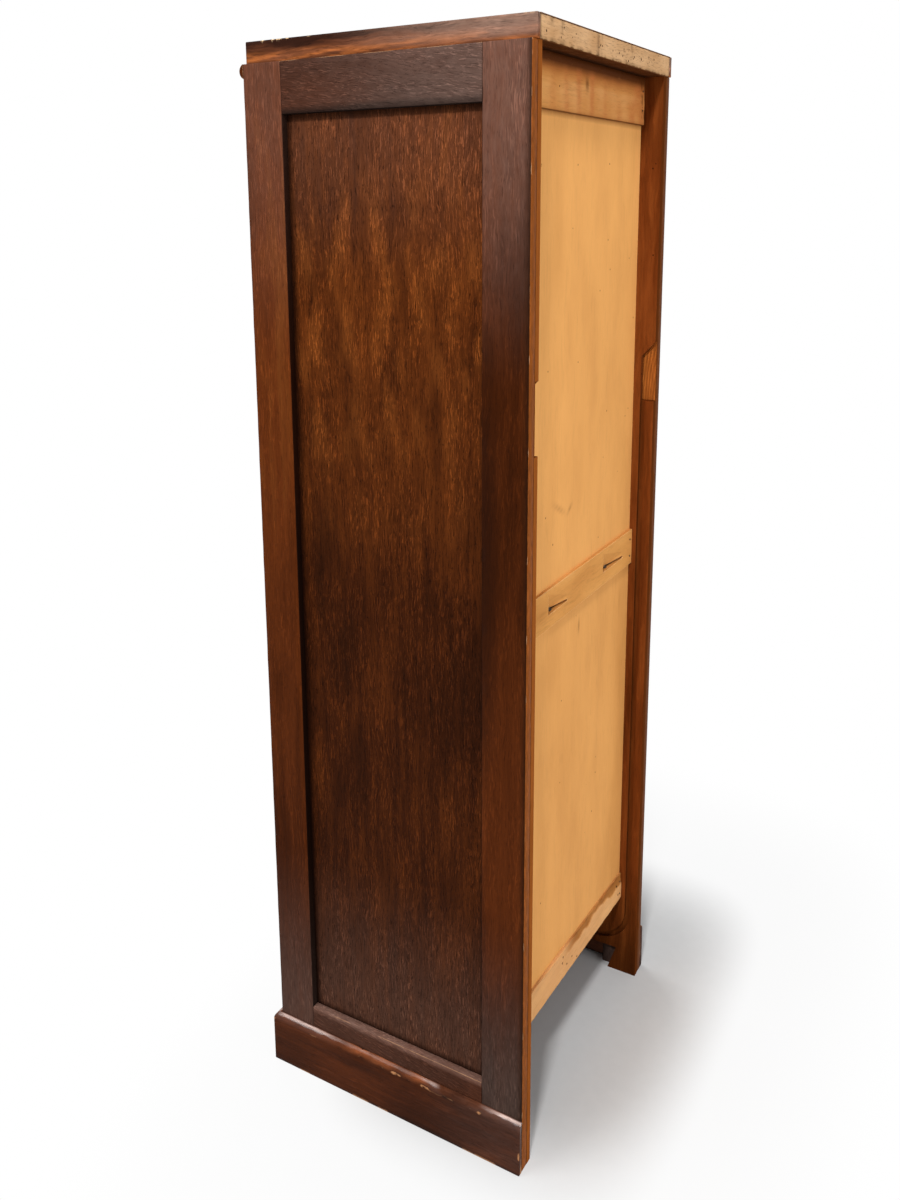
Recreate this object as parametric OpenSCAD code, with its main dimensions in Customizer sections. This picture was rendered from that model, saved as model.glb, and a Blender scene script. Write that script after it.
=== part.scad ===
// Upright filing cabinet with a roller shutter front.
// Framed oak sides with softwood linings, a panelled back set deep between them,
// and a slatted shutter that runs down the front, under the bottom board and up the back.
// Millimetres, +Z up, front towards -Y, origin on the floor under the middle of the whole cabinet.

/* [Case] */
// Height over the top board
height = 1340; // [1250:5:1450]
// Width over the two sides, without the plinth
case_w = 414; // [370:1:520]
// Depth of the two sides
case_d = 366; // [330:1:450]

/* [Top] */
// Thickness of the top board
top_t = 25; // [20:0.5:32]
// How far each edge of the top stands in from the sides
top_inset = 3.5; // [0:0.5:6]
// How far the top sits off centre, towards the left side
top_shift = 3; // [0:0.5:3]
// How far the top runs past the sides at the back
top_overhang = 2; // [0:0.5:8]
// Width of the oak lipping round the top
lipping_w = 7; // [4:0.5:14]
// Thickness of the oak veneer on the top
veneer_t = 0.8; // [0.5:0.1:2]

/* [Front moulding] */
// Height of the moulding under the front edge of the top
moulding_h = 16; // [10:0.5:24]
// How far the moulding stands out
moulding_t = 5; // [3:0.5:7]

/* [Sides] */
// Thickness of the oak frame of a side
frame_t = 13; // [11:0.5:20]
// Width of the front stiles
front_stile_w = 54; // [40:1:80]
// Width of the rear stiles
rear_stile_w = 56; // [40:1:80]
// Width of the top rails of the sides
side_top_rail_w = 58; // [40:1:90]
// Height of the top edge of the bottom rails above the floor
side_bottom_rail_top = 101; // [90:1:140]
// Gap between the bottom rails and the floor
side_bottom_rail_gap = 12; // [4:1:24]
// Thickness of the side panels
side_panel_t = 3.5; // [3:0.1:5]
// Width of the rebate that a side panel lies in
panel_rebate_w = 8; // [5:0.5:12]
// Play round a side panel in its rebate
panel_play = 0.5; // [0.2:0.1:1.5]
// Length of the tenons of the side rails
tenon_l = 25; // [15:1:32]
// Thickness of the tenons
tenon_t = 5; // [3:0.5:6]
// How far the tenons stand in from the edges of a rail
tenon_shoulder = 12; // [8:1:16]
// Thickness of the softwood lining inside a side
lining_t = 9; // [8.5:0.5:14]

/* [Feet] */
// Width of the feet of a lining at the floor
foot_w = 44; // [36:1:60]
// How far a foot leans back over its height
foot_lean = 13; // [4:1:18]
// Height of the cut-out between the feet
foot_h = 38; // [20:1:40]

/* [Shutter track] */
// Distance from the front or rear edge of a side to the middle of the track
track_inset = 15; // [14:0.5:20]
// Width of the track
track_w = 8; // [7.8:0.1:10]
// Depth of the track in the lining
track_depth = 5; // [4:0.1:6]
// Height of the middle of the track's bottom run above the floor
track_floor = 52; // [50:1:70]
// Radius of the two bends, at the middle of the track
track_r = 50; // [40:1:60]

/* [Loading notch] */
// Height of the ledge under the notch where the shutter is put into the track
notch_z = 891; // [700:1:950]
// Height of the notch at the track
notch_h = 62; // [40:1:90]
// How much higher the notch is at the rear edge than at the track
notch_rise = 21; // [0:1:30]
// Depth of the notch in the lining
notch_depth = 8; // [6:0.5:8]

/* [Plinth] */
// Height of the plinth
plinth_h = 72; // [50:1:90]
// Thickness of the plinth, which is also the radius of its rounded top edge
plinth_t = 8.4; // [8:0.1:14]
// Side of the square blocks glued behind the front of the plinth
block_w = 20; // [12:1:24]
// Height of those blocks
block_h = 38; // [20:1:40]

/* [Back] */
// Distance from the rear edges of the sides to the face of the back rails
back_inset = 25; // [24:0.5:40]
// How far the back rails stand proud of the back panels
back_proud = 4; // [2:0.5:6]
// Thickness of the back rails
back_rail_t = 18; // [14:0.5:24]
// Thickness of the back panels
back_panel_t = 4; // [3:0.1:6]
// Depth of the grooves that the back panels are let into
back_groove = 6; // [4:0.5:8]
// Depth of the groove in the linings for the back panels
lining_groove = 3; // [2:0.1:4]
// Play of a back panel in its grooves
back_play = 0.3; // [0.2:0.1:0.6]
// Width of the top rail of the back
back_top_rail_w = 60; // [40:1:90]
// Height of the lower edge of the middle rail above the floor
back_mid_rail_z = 658; // [560:1:740]
// Width of the middle rail of the back
back_mid_rail_w = 49; // [40:1:70]
// Height of the middle of the bottom rail of the back above the floor
back_low_rail_z = 156.5; // [140:0.5:170]
// Width of the bottom rail of the back
back_low_rail_w = 42; // [36:1:60]
// How far the bottom rail of the back is out of level, rising to the right
back_low_rail_tilt = 2.8; // [0:0.1:5]

/* [Boards and shelves] */
// Thickness of the bottom and middle boards
board_t = 18; // [12:1:22]
// Height of the underside of the bottom board
bottom_board_z = 130; // [118:1:150]
// Number of thin shelves above the middle board
upper_shelves = 4; // [1:1:4]
// Number of thin shelves below the middle board
lower_shelves = 4; // [1:1:4]
// Thickness of a thin shelf
shelf_t = 6; // [4:0.5:9]
// Play between a shelf and the linings on each side
shelf_play = 0.5; // [0.3:0.1:2]
// Radius of the finger scoop in the front edge of a shelf
scoop_r = 60; // [40:1:80]
// Depth of the finger scoop
scoop_d = 24; // [10:1:36]
// Width of the bearers under the shelves
bearer_w = 10; // [8:0.5:16]
// Height of the bearers
bearer_h = 12; // [8:0.5:18]
// Gap between the back of the shutter and what stands behind it
shutter_gap = 2.5; // [1.5:0.5:6]

/* [Front rails] */
// Height of the rail over the shutter
front_top_rail_h = 25; // [22:1:40]
// Depth of the rail over the shutter
front_top_rail_d = 40; // [30:1:60]
// Thickness of the rail behind the plinth
front_low_rail_t = 9; // [6:0.5:9.5]

/* [Shutter] */
// Thickness of the slats
slat_t = 7; // [5:0.1:7.2]
// Distance from one slat to the next
slat_pitch = 20; // [16:0.5:24]
// Gap between two slats
slat_gap = 0.4; // [0.3:0.1:0.8]
// Radius of the rounded faces of the slats
slat_r = 16; // [12.5:0.5:30]
// Play at the end of a slat in its track
slat_end_play = 0.7; // [0.4:0.1:1.5]
// Thickness of the canvas glued to the backs of the slats
canvas_t = 0.8; // [0.5:0.1:1.2]
// Height of the lead rail at the top of the shutter
lead_h = 50; // [48:1:70]
// How far the lead rail stands back from the front edges of the sides
lead_setback = 2; // [1:0.5:3]
// Gap over the closed lead rail
lead_top_gap = 0.5; // [0.3:0.1:2]
// Play between the lead rail and the linings on each side
lead_play = 1; // [0.5:0.1:2]
// Height that the open shutter stops at, above the bends
stop_gap = 4; // [3:1:20]
// Gap between the open shutter's lead rail and the rail under it
stop_clearance = 2; // [1:0.5:3]

/* [Lock and pulls] */
// Width of the lock case
lock_w = 40; // [34:1:60]
// Height of the lock case
lock_h = 34; // [30:1:36]
// Thickness of the lock case
lock_t = 11; // [10:0.5:11.5]
// Diameter of the lock cylinder
cylinder_d = 12; // [8:0.5:14]
// Running gap round the cylinder and the bolt
lock_fit = 0.3; // [0.2:0.05:0.5]
// Width of the bolt
bolt_w = 20; // [14:1:24]
// Thickness of the bolt
bolt_t = 4; // [3:0.1:4.5]
// How far the bolt is thrown
bolt_throw = 8; // [5:0.5:8]
// Distance from the middle of the shutter to each finger pull
pull_x = 90; // [60:1:120]
// Width of a finger pull
pull_w = 44; // [30:1:60]
// Height of the plate of a finger pull
pull_h = 24; // [20:1:30]
// Thickness of the sheet that the pulls and plates are made of
plate_t = 1.2; // [0.8:0.1:2]
// Radius of the curled lip of a finger pull
pull_lip_r = 5; // [3:0.5:5]

/* [Hidden] */

// Overlap of a cut past the face that it opens
eps = 1;
// Fineness of the large curves and of the small ones
big_fn = 96;
small_fn = 32;

// Case planes
front_y = plinth_t - (case_d + plinth_t + top_overhang) / 2;
rear_y = front_y + case_d;
half_w = case_w / 2;
lining_x = half_w - frame_t;
inner_x = lining_x - lining_t;
case_top = height - top_t;

// Top
top_right = half_w - top_inset - top_shift;
top_left = -half_w + top_inset - top_shift;
top_rear = rear_y + top_overhang;

// Openings of the side frames
panel_y0 = front_y + front_stile_w;
panel_y1 = rear_y - rear_stile_w;
panel_z0 = side_bottom_rail_top;
panel_z1 = case_top - side_top_rail_w;
tenon_x = lining_x + side_panel_t + (frame_t - side_panel_t - tenon_t) / 2;

// Track
front_run_y = front_y + track_inset;
rear_run_y = rear_y - track_inset;
bend_z = track_floor + track_r;
track_top = case_top - front_top_rail_h;

// Back
rail_face_y = rear_y - back_inset;
rail_front_y = rail_face_y - back_rail_t;
back_panel_y = rail_face_y - back_proud;
back_top_rail_z = case_top - back_top_rail_w;

// Boards
shutter_back_y = front_run_y + slat_t / 2 + canvas_t;
board_front_y = shutter_back_y + shutter_gap;
mid_board_z = back_mid_rail_z;
bottom_board_top = bottom_board_z + board_t;
mid_board_top = mid_board_z + board_t;
upper_pitch = (track_top - mid_board_top) / (upper_shelves + 1);
lower_pitch = (mid_board_z - bottom_board_top) / (lower_shelves + 1);
shelf_rear_y = back_panel_y - back_panel_t - back_play;

// Shutter
lead_top = track_top - lead_top_gap;
lead_z = lead_top - lead_h;
lead_front_y = front_y + lead_setback;
slat_back_y = front_run_y + slat_t / 2;
slat_half_l = inner_x + track_depth - slat_end_play;
slat_count = round((lead_z - bend_z) / slat_pitch);
shutter_tail = lead_z - slat_count * slat_pitch;
front_low_rail_h = bend_z + stop_gap - stop_clearance;
canvas_lap = 12;

// Lock
lock_z = lead_top - lock_h / 2;
lock_y = slat_back_y - lock_t;
bolt_y = slat_back_y - 2.5 - bolt_t;
bolt_rest_gap = 1;
keyhole_w = 1.6;
keyhole_depth = 4;
cylinder_proud = 0.6;
strike_w = 46;
strike_d = 14;
strike_y = bolt_y + bolt_t / 2;

// Screws
screw_fit = 0.1;
lock_screw_d = 2.5;
lock_screw_l = 8;
pull_screw_d = 3;
pull_screw_l = 10;
pull_screw_in = 6.5;
strike_screw_d = 2.5;
strike_screw_l = 9;
pocket_screw_d = 4;
pocket_screw_l = 32;
pocket_tilt = 25;
pocket_screw_out = 3.2;
pocket_screw_up = 1.5;
pocket_z = back_mid_rail_z + 17;
pocket_h = 26;
pocket_d = 9;
slit_h = 3;
slit_d = 10;
slit_in = 8;
// Right end and width of each screw pocket in the middle rail of the back, and the share of its
// width from that end to its screw
pockets = [[96, 56], [-78, 72]];
pocket_screw_in = 0.3;
nail_d = 2.6;
nail_head_t = 0.6;
nail_l = 14;

oak = [0.27, 0.13, 0.08];
oak_light = [0.42, 0.22, 0.11];
softwood = [0.47, 0.26, 0.14];
pale_wood = [0.82, 0.64, 0.42];
honey_ply = [0.88, 0.66, 0.36];
brass = [0.70, 0.55, 0.28];
steel = [0.55, 0.54, 0.52];
canvas = [0.45, 0.40, 0.32];

// An outline in Y and Z, made a board of thickness t from x towards +X
module across_x(x, t) {
    translate([x, 0, 0]) rotate([90, 0, 90]) linear_extrude(t) children();
}

// An outline in X and Z, made a board of thickness t from y towards +Y
module across_y(y, t) {
    translate([0, y + t, 0]) rotate([90, 0, 0]) linear_extrude(t) children();
}

// A block given by its two opposite corners
module block(a, b) {
    translate(a) cube(b - a);
}

// A countersunk screw that points down from the origin, with its driving slot
module screw(d, l) {
    difference() {
        union() {
            translate([0, 0, -d * 0.6]) cylinder(h = d * 0.6, d1 = d, d2 = d * 2, $fn = small_fn);
            translate([0, 0, -l]) cylinder(h = l - d * 0.6, d = d, $fn = small_fn);
        }
        translate([-d, -d * 0.12, -d * 0.25]) cube([d * 2, d * 0.24, d]);
    }
}

// The hole that such a screw fills
module screw_hole(d, l) {
    translate([0, 0, -d * 0.6])
        cylinder(h = d * 0.6, d1 = d + 2 * screw_fit, d2 = d * 2 + 2 * screw_fit, $fn = small_fn);
    translate([0, 0, -l - screw_fit]) cylinder(h = l, d = d + 2 * screw_fit, $fn = small_fn);
    translate([0, 0, -screw_fit / 2]) cylinder(h = eps, d = d * 2 + 2 * screw_fit, $fn = small_fn);
}

// Top

module top_board() {
    color(pale_wood)
        block([top_left + lipping_w, front_y + lipping_w, case_top],
              [top_right - lipping_w, top_rear, height - veneer_t]);
}

module top_veneer() {
    color(oak)
        block([top_left + lipping_w, front_y + lipping_w, height - veneer_t],
              [top_right - lipping_w, top_rear, height]);
}

module side_lipping(x) {
    color(oak_light) block([x, front_y, case_top], [x + lipping_w, top_rear, height]);
}

module front_lipping() {
    color(oak_light)
        block([top_left + lipping_w, front_y, case_top],
              [top_right - lipping_w, front_y + lipping_w, height]);
}

// The part of a circle that stands moulding_t out of the case over a height of moulding_h
module front_moulding() {
    r = (moulding_h * moulding_h / 4 + moulding_t * moulding_t) / (2 * moulding_t);
    color(oak) across_x(-half_w, case_w) intersection() {
        translate([front_y - moulding_t, case_top - moulding_h]) square([moulding_t, moulding_h]);
        translate([front_y - moulding_t + r, case_top - moulding_h / 2]) circle(r, $fn = big_fn);
    }
}

// Sides, drawn at the right and mirrored for the left

// The rebate round the panel opening, at the back of the frame
module panel_rebate() {
    block([lining_x - eps, panel_y0 - panel_rebate_w, panel_z0 - panel_rebate_w],
          [lining_x + side_panel_t, panel_y1 + panel_rebate_w, panel_z1 + panel_rebate_w]);
}

// The tenons of one rail, or with more length the mortises for them
module tenons(z0, z1, l) {
    block([tenon_x, panel_y0 - l, z0 + tenon_shoulder],
          [tenon_x + tenon_t, panel_y1 + l, z1 - tenon_shoulder]);
}

module side_tenons(l) {
    tenons(panel_z1, case_top, l);
    tenons(side_bottom_rail_gap, panel_z0, l);
}

module side_stile(y, w) {
    color(oak) difference() {
        block([lining_x, y, 0], [half_w, y + w, case_top]);
        panel_rebate();
        side_tenons(tenon_l + screw_fit);
    }
}

module side_rail(z0, z1) {
    color(oak) union() {
        difference() {
            block([lining_x, panel_y0, z0], [half_w, panel_y1, z1]);
            panel_rebate();
        }
        tenons(z0, z1, tenon_l);
    }
}

module side_panel() {
    e = panel_rebate_w - panel_play;
    color(oak_light)
        block([lining_x, panel_y0 - e, panel_z0 - e],
              [lining_x + side_panel_t, panel_y1 + e, panel_z1 + e]);
}

// The middle line of the track, w wide: down the front, round two bends and up the back
module track_outline(w) {
    bottom_l = rear_run_y - front_run_y - 2 * track_r;
    translate([front_run_y - w / 2, bend_z]) square([w, track_top - bend_z]);
    translate([rear_run_y - w / 2, bend_z]) square([w, notch_z + notch_h / 2 - bend_z]);
    translate([front_run_y + track_r, track_floor - w / 2]) square([bottom_l, w]);
    for (side = [0, 1])
        translate([side == 0 ? front_run_y + track_r : rear_run_y - track_r, bend_z])
            mirror([side, 0]) intersection() {
                difference() {
                    circle(track_r + w / 2, $fn = big_fn);
                    circle(track_r - w / 2, $fn = big_fn);
                }
                translate([-2 * track_r, -2 * track_r]) square(2 * track_r);
            }
}

// The notch in the rear edge where the shutter is fed into the track
module notch_outline() {
    y0 = rear_run_y - track_w / 2;
    polygon([[y0, notch_z], [rear_y + eps, notch_z], [rear_y + eps, notch_z + notch_h + notch_rise],
             [y0, notch_z + notch_h]]);
}

module lining_outline() {
    polygon([[front_y, 0], [front_y + foot_w, 0], [front_y + foot_w - foot_lean, foot_h],
             [rear_y - foot_w + foot_lean, foot_h], [rear_y - foot_w, 0], [rear_y, 0],
             [rear_y, case_top], [front_y, case_top]]);
}

module side_lining() {
    color(softwood) difference() {
        across_x(inner_x, lining_t) lining_outline();
        across_x(inner_x - eps, track_depth + eps) track_outline(track_w);
        across_x(inner_x - eps, notch_depth + eps) notch_outline();
        block([inner_x - eps, back_panel_y - back_panel_t - back_play, back_low_rail_z - 10],
              [inner_x + lining_groove, back_panel_y, case_top - back_groove]);
    }
}

// Plinth

// Section of the plinth: a board with a quarter round along its top outer edge
module plinth_section() {
    square([plinth_t, plinth_h - plinth_t]);
    translate([0, plinth_h - plinth_t]) intersection() {
        circle(plinth_t, $fn = big_fn);
        square(plinth_t);
    }
}

// What lies in front of the mitre at the right front corner, or behind it
module past_mitre(behind) {
    l = case_w;
    translate([half_w, front_y, -eps]) rotate([0, 0, 45])
        translate([behind ? 0 : -l, -l, 0]) cube([l, 2 * l, plinth_h + 2 * eps]);
}

module plinth_side() {
    color(oak) difference() {
        across_y(front_y - plinth_t, case_d + plinth_t) translate([half_w, 0]) plinth_section();
        past_mitre(false);
    }
}

module plinth_front() {
    color(oak) difference() {
        across_x(-half_w - plinth_t, case_w + 2 * plinth_t)
            translate([front_y, 0]) mirror([1, 0]) plinth_section();
        past_mitre(true);
        mirror([1, 0, 0]) past_mitre(true);
    }
}

// Three-cornered glue blocks between the front rail and the linings
module plinth_blocks() {
    y = front_y + front_low_rail_t;
    color(pale_wood) for (side = [0, 1]) mirror([side, 0, 0])
        linear_extrude(block_h) polygon([[inner_x, y], [inner_x, y + block_w], [inner_x - block_w, y]]);
}

// Front rails

// The slot that the bolt is thrown into, wider than the bolt by gap all round, up to z
module strike_slot(gap, z) {
    block([-bolt_w / 2 - gap, bolt_y - gap, track_top - eps],
          [bolt_w / 2 + gap, bolt_y + bolt_t + gap, z]);
}

module front_top_rail() {
    color(oak) difference() {
        block([-inner_x, front_y, track_top], [inner_x, front_y + front_top_rail_d, case_top]);
        block([-strike_w / 2 - screw_fit, strike_y - strike_d / 2 - screw_fit, track_top - eps],
              [strike_w / 2 + screw_fit, strike_y + strike_d / 2 + screw_fit, track_top + plate_t]);
        strike_slot(1.5, track_top + bolt_throw + 2);
        strike_places() screw_hole(strike_screw_d, strike_screw_l);
    }
}

module front_bottom_rail() {
    color(oak) block([-inner_x, front_y, 0], [inner_x, front_y + front_low_rail_t, front_low_rail_h]);
}

// Back

// A groove for the back panels along one edge of a rail, from z towards +Z
module rail_groove(z) {
    block([-case_w, back_panel_y - back_panel_t - back_play, z],
          [case_w, back_panel_y, z + back_groove + eps]);
}

module back_top_rail() {
    color(pale_wood) difference() {
        block([-inner_x, rail_front_y, back_top_rail_z], [inner_x, rail_face_y, case_top]);
        rail_groove(back_top_rail_z - eps);
    }
}

// A hollow gouged in the face of the rail, w wide: deepest at the foot of its right end, from
// where its floor slopes up and to the left, with a slit cut along the foot
module screw_pocket(right, w) {
    hull() {
        across_x(right - 0.5, 0.5)
            polygon([[rail_face_y + eps, pocket_z], [rail_face_y - pocket_d, pocket_z],
                     [rail_face_y, pocket_z + pocket_h], [rail_face_y + eps, pocket_z + pocket_h]]);
        block([right - w, rail_face_y, pocket_z],
              [right - w + 0.5, rail_face_y + eps, pocket_z + pocket_h / 3]);
    }
    block([right - w, rail_face_y - slit_d, pocket_z],
          [right - slit_in, rail_face_y + eps, pocket_z + slit_h]);
}

// The two places of the pocket screws, pointing forwards and down
module pocket_places() {
    for (p = pockets)
        translate([p[0] - p[1] * pocket_screw_in, rail_face_y - pocket_d + pocket_screw_out,
                   pocket_z + pocket_screw_up])
            rotate([pocket_tilt - 90, 0, 0]) children();
}

module back_mid_rail() {
    color(pale_wood) difference() {
        block([-inner_x, rail_front_y, back_mid_rail_z],
              [inner_x, rail_face_y, back_mid_rail_z + back_mid_rail_w]);
        rail_groove(back_mid_rail_z + back_mid_rail_w - back_groove);
        rail_groove(back_mid_rail_z - eps);
        for (p = pockets) screw_pocket(p[0], p[1]);
        pocket_places() screw_hole(pocket_screw_d, pocket_screw_l);
    }
}

// Height of the sloping middle line of the bottom rail at x, moved up by up
function low_rail(x, up) = [x, back_low_rail_z + x * tan(back_low_rail_tilt) + up];

module low_rail_outline(below, above) {
    polygon([low_rail(-inner_x, below), low_rail(inner_x, below), low_rail(inner_x, above),
             low_rail(-inner_x, above)]);
}

module back_bottom_rail() {
    h = back_low_rail_w / 2;
    color(pale_wood) difference() {
        across_y(rail_front_y, back_rail_t) low_rail_outline(-h, h);
        across_y(back_panel_y - back_panel_t - back_play, back_panel_t + back_play)
            low_rail_outline(h - back_groove, h + eps);
    }
}

module back_upper_panel() {
    x = inner_x + lining_groove - back_play;
    z0 = back_mid_rail_z + back_mid_rail_w - back_groove + back_play;
    z1 = back_top_rail_z + back_groove - back_play;
    color(honey_ply) block([-x, back_panel_y - back_panel_t, z0], [x, back_panel_y, z1]);
}

module back_lower_panel() {
    x = inner_x + lining_groove - back_play;
    up = back_low_rail_w / 2 - back_groove + back_play;
    z1 = back_mid_rail_z + back_groove - back_play;
    color(honey_ply) across_y(back_panel_y - back_panel_t, back_panel_t)
        polygon([low_rail(-x, up), low_rail(x, up), [x, z1], [-x, z1]]);
}

module pocket_screws() {
    color(steel) pocket_places() screw(pocket_screw_d, pocket_screw_l);
}

// The two nails near each end of the back rails, driven into the rails from the back
module nail_places() {
    for (side = [-1, 1]) {
        x = side * (inner_x - 8);
        for (z = [back_top_rail_z + 18, back_top_rail_z + 42, back_mid_rail_z + 12, back_mid_rail_z + 36])
            translate([x, rail_face_y, z]) rotate([-90, 0, 0]) children();
        for (up = [-10, 10])
            translate([x, rail_face_y, low_rail(x, up)[1]]) rotate([-90, 0, 0]) children();
    }
}

module nails() {
    color(steel) nail_places() {
        cylinder(h = nail_head_t, d = nail_d, $fn = small_fn);
    }
}

// Boards, shelves and bearers

module carcass_board(z) {
    color(softwood) block([-inner_x, board_front_y, z], [inner_x, rail_front_y, z + board_t]);
}

module middle_board() {
    difference() {
        carcass_board(mid_board_z);
        pocket_places() screw_hole(pocket_screw_d, pocket_screw_l);
    }
}

module thin_shelf(z) {
    x = inner_x - shelf_play;
    color(honey_ply) difference() {
        block([-x, board_front_y, z], [x, shelf_rear_y, z + shelf_t]);
        translate([0, board_front_y + scoop_d - scoop_r, z - eps])
            cylinder(h = shelf_t + 2 * eps, r = scoop_r, $fn = big_fn);
    }
}

function upper_z(i) = mid_board_top + i * upper_pitch;
function lower_z(i) = bottom_board_top + i * lower_pitch;

module upper_shelf(i) {
    if (i <= upper_shelves) thin_shelf(upper_z(i));
}

module lower_shelf(i) {
    if (i <= lower_shelves) thin_shelf(lower_z(i));
}

module shelf_bearer(z) {
    block([inner_x - bearer_w, board_front_y, z - bearer_h], [inner_x, shelf_rear_y, z]);
}

module right_bearers() {
    color(softwood) {
        for (i = [1:upper_shelves]) shelf_bearer(upper_z(i));
        for (i = [1:lower_shelves]) shelf_bearer(lower_z(i));
    }
}

// Shutter

// Section of a slat in Y and Z: flat at the back and rounded at the front
module slat_section() {
    h = slat_pitch - slat_gap;
    intersection() {
        translate([front_run_y - slat_t / 2, -h / 2]) square([slat_t, h]);
        translate([front_run_y - slat_t / 2 + slat_r, 0]) circle(slat_r, $fn = big_fn);
    }
}

module shutter_slats() {
    color(oak) for (i = [0:slat_count - 1])
        translate([0, 0, shutter_tail + (i + 0.5) * slat_pitch])
            across_x(-slat_half_l, 2 * slat_half_l) slat_section();
}

module shutter_canvas() {
    x = inner_x - lead_play - 1;
    color(canvas)
        block([-x, slat_back_y, shutter_tail + slat_gap], [x, slat_back_y + canvas_t, lead_z + canvas_lap]);
}

module lead_rail() {
    x = inner_x - lead_play;
    color(oak) difference() {
        union() {
            block([-x, lead_front_y, lead_z], [x, slat_back_y, lead_top]);
            block([-slat_half_l, front_run_y - slat_t / 2, lead_z], [slat_half_l, slat_back_y, lead_top]);
        }
        block([-lock_w / 2 - screw_fit, lock_y - screw_fit, lead_top - lock_h - screw_fit],
              [lock_w / 2 + screw_fit, slat_back_y + eps, lead_top + eps]);
        lock_bore(lead_front_y - eps, lock_t + lock_y);
        lock_screw_places() screw_hole(lock_screw_d, lock_screw_l);
        pull_screw_places() screw_hole(pull_screw_d, pull_screw_l);
    }
}

// Lock

// The round hole for the cylinder, with its running gap, between two places in Y
module lock_bore(y0, y1) {
    translate([0, y0, lock_z]) rotate([-90, 0, 0])
        cylinder(h = y1 - y0, d = cylinder_d + 2 * lock_fit, $fn = big_fn);
}

module bolt_slot() {
    block([-bolt_w / 2 - lock_fit, bolt_y - lock_fit, lock_z - cylinder_d / 2],
          [bolt_w / 2 + lock_fit, bolt_y + bolt_t + lock_fit, lead_top + eps]);
}

module lock_case() {
    color(brass) difference() {
        block([-lock_w / 2, lock_y, lead_top - lock_h], [lock_w / 2, slat_back_y, lead_top]);
        bolt_slot();
        lock_bore(lock_y - eps, bolt_y);
        lock_screw_places() screw_hole(lock_screw_d, lock_screw_l);
    }
}

// Four screws at the corners of the lock case, driven in from the back
module lock_screw_places() {
    for (side = [-1, 1]) for (z = [lead_top - 6, lead_top - lock_h + 6])
        translate([side * (lock_w / 2 - 4.5), slat_back_y, z]) rotate([-90, 0, 0]) children();
}

module lock_screws() {
    color(steel) lock_screw_places() screw(lock_screw_d, lock_screw_l);
}

module lock_cylinder() {
    y0 = lead_front_y - plate_t - cylinder_proud;
    l = bolt_y - 2 * lock_fit - y0;
    color(brass) difference() {
        translate([0, y0, lock_z]) rotate([-90, 0, 0]) cylinder(h = l, d = cylinder_d, $fn = big_fn);
        block([-keyhole_w / 2, y0 - eps, lock_z - 3.5], [keyhole_w / 2, y0 + keyhole_depth, lock_z + 2.5]);
        translate([0, y0 - eps, lock_z + 2]) rotate([-90, 0, 0])
            cylinder(h = keyhole_depth + eps, d = keyhole_w * 2, $fn = small_fn);
    }
}

module lock_bolt() {
    color(steel)
        block([-bolt_w / 2, bolt_y, lock_z], [bolt_w / 2, bolt_y + bolt_t, lead_top - bolt_rest_gap]);
}

module escutcheon() {
    color(brass) difference() {
        translate([0, lead_front_y - plate_t, lock_z]) rotate([-90, 0, 0])
            cylinder(h = plate_t, d = cylinder_d * 2, $fn = big_fn);
        lock_bore(lead_front_y - plate_t - eps, lead_front_y + eps);
    }
}

module strike_places() {
    for (side = [-1, 1])
        translate([side * (strike_w / 2 - 5), strike_y, track_top]) rotate([180, 0, 0]) children();
}

module strike_plate() {
    color(brass) difference() {
        block([-strike_w / 2, strike_y - strike_d / 2, track_top],
              [strike_w / 2, strike_y + strike_d / 2, track_top + plate_t]);
        strike_slot(1, track_top + plate_t + eps);
        strike_places() screw_hole(strike_screw_d, strike_screw_l);
    }
}

module strike_screws() {
    color(steel) strike_places() screw(strike_screw_d, strike_screw_l);
}

// Finger pulls: a plate whose lower edge curls out into a lip

module pull_section() {
    y = lead_front_y;
    z = lead_z + (lead_h - pull_h) / 2;
    r = pull_lip_r;
    translate([y - plate_t, z + r]) square([plate_t, pull_h - r]);
    translate([y - r, z + r]) intersection() {
        difference() {
            circle(r, $fn = big_fn);
            circle(r - plate_t, $fn = big_fn);
        }
        translate([-2 * r, -2 * r]) square([4 * r, 2 * r]);
    }
}

module pull_screw_places() {
    z = lead_z + (lead_h + pull_h) / 2 - pull_screw_in;
    for (side = [-1, 1]) for (dx = [-1, 1])
        translate([side * pull_x + dx * (pull_w / 2 - pull_screw_in), lead_front_y - plate_t, z])
            rotate([90, 0, 0]) children();
}

module finger_pulls() {
    color(brass) difference() {
        for (side = [-1, 1]) across_x(side * pull_x - pull_w / 2, pull_w) pull_section();
        pull_screw_places() screw_hole(pull_screw_d, pull_screw_l);
    }
}

module pull_screws() {
    color(brass) pull_screw_places() screw(pull_screw_d, pull_screw_l);
}

module left() {
    mirror([1, 0, 0]) children();
}

top_board();
top_veneer();
side_lipping(top_right - lipping_w);  // right_lipping
side_lipping(top_left);  // left_lipping
front_lipping();
front_moulding();
side_stile(front_y, front_stile_w);  // right_front_stile
side_stile(panel_y1, rear_stile_w);  // right_rear_stile
side_rail(panel_z1, case_top);  // right_top_rail
side_rail(side_bottom_rail_gap, panel_z0);  // right_bottom_rail
side_panel();  // right_panel
side_lining();  // right_lining
left() side_stile(front_y, front_stile_w);  // left_front_stile
left() side_stile(panel_y1, rear_stile_w);  // left_rear_stile
left() side_rail(panel_z1, case_top);  // left_top_rail
left() side_rail(side_bottom_rail_gap, panel_z0);  // left_bottom_rail
left() side_panel();  // left_panel
left() side_lining();  // left_lining
plinth_front();
plinth_side();  // plinth_right
left() plinth_side();  // plinth_left
plinth_blocks();
front_top_rail();
front_bottom_rail();
carcass_board(bottom_board_z);  // bottom_board
middle_board();
back_top_rail();
back_mid_rail();
back_bottom_rail();
back_upper_panel();
back_lower_panel();
pocket_screws();
nails();
upper_shelf(1);  // upper_shelf_1
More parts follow.
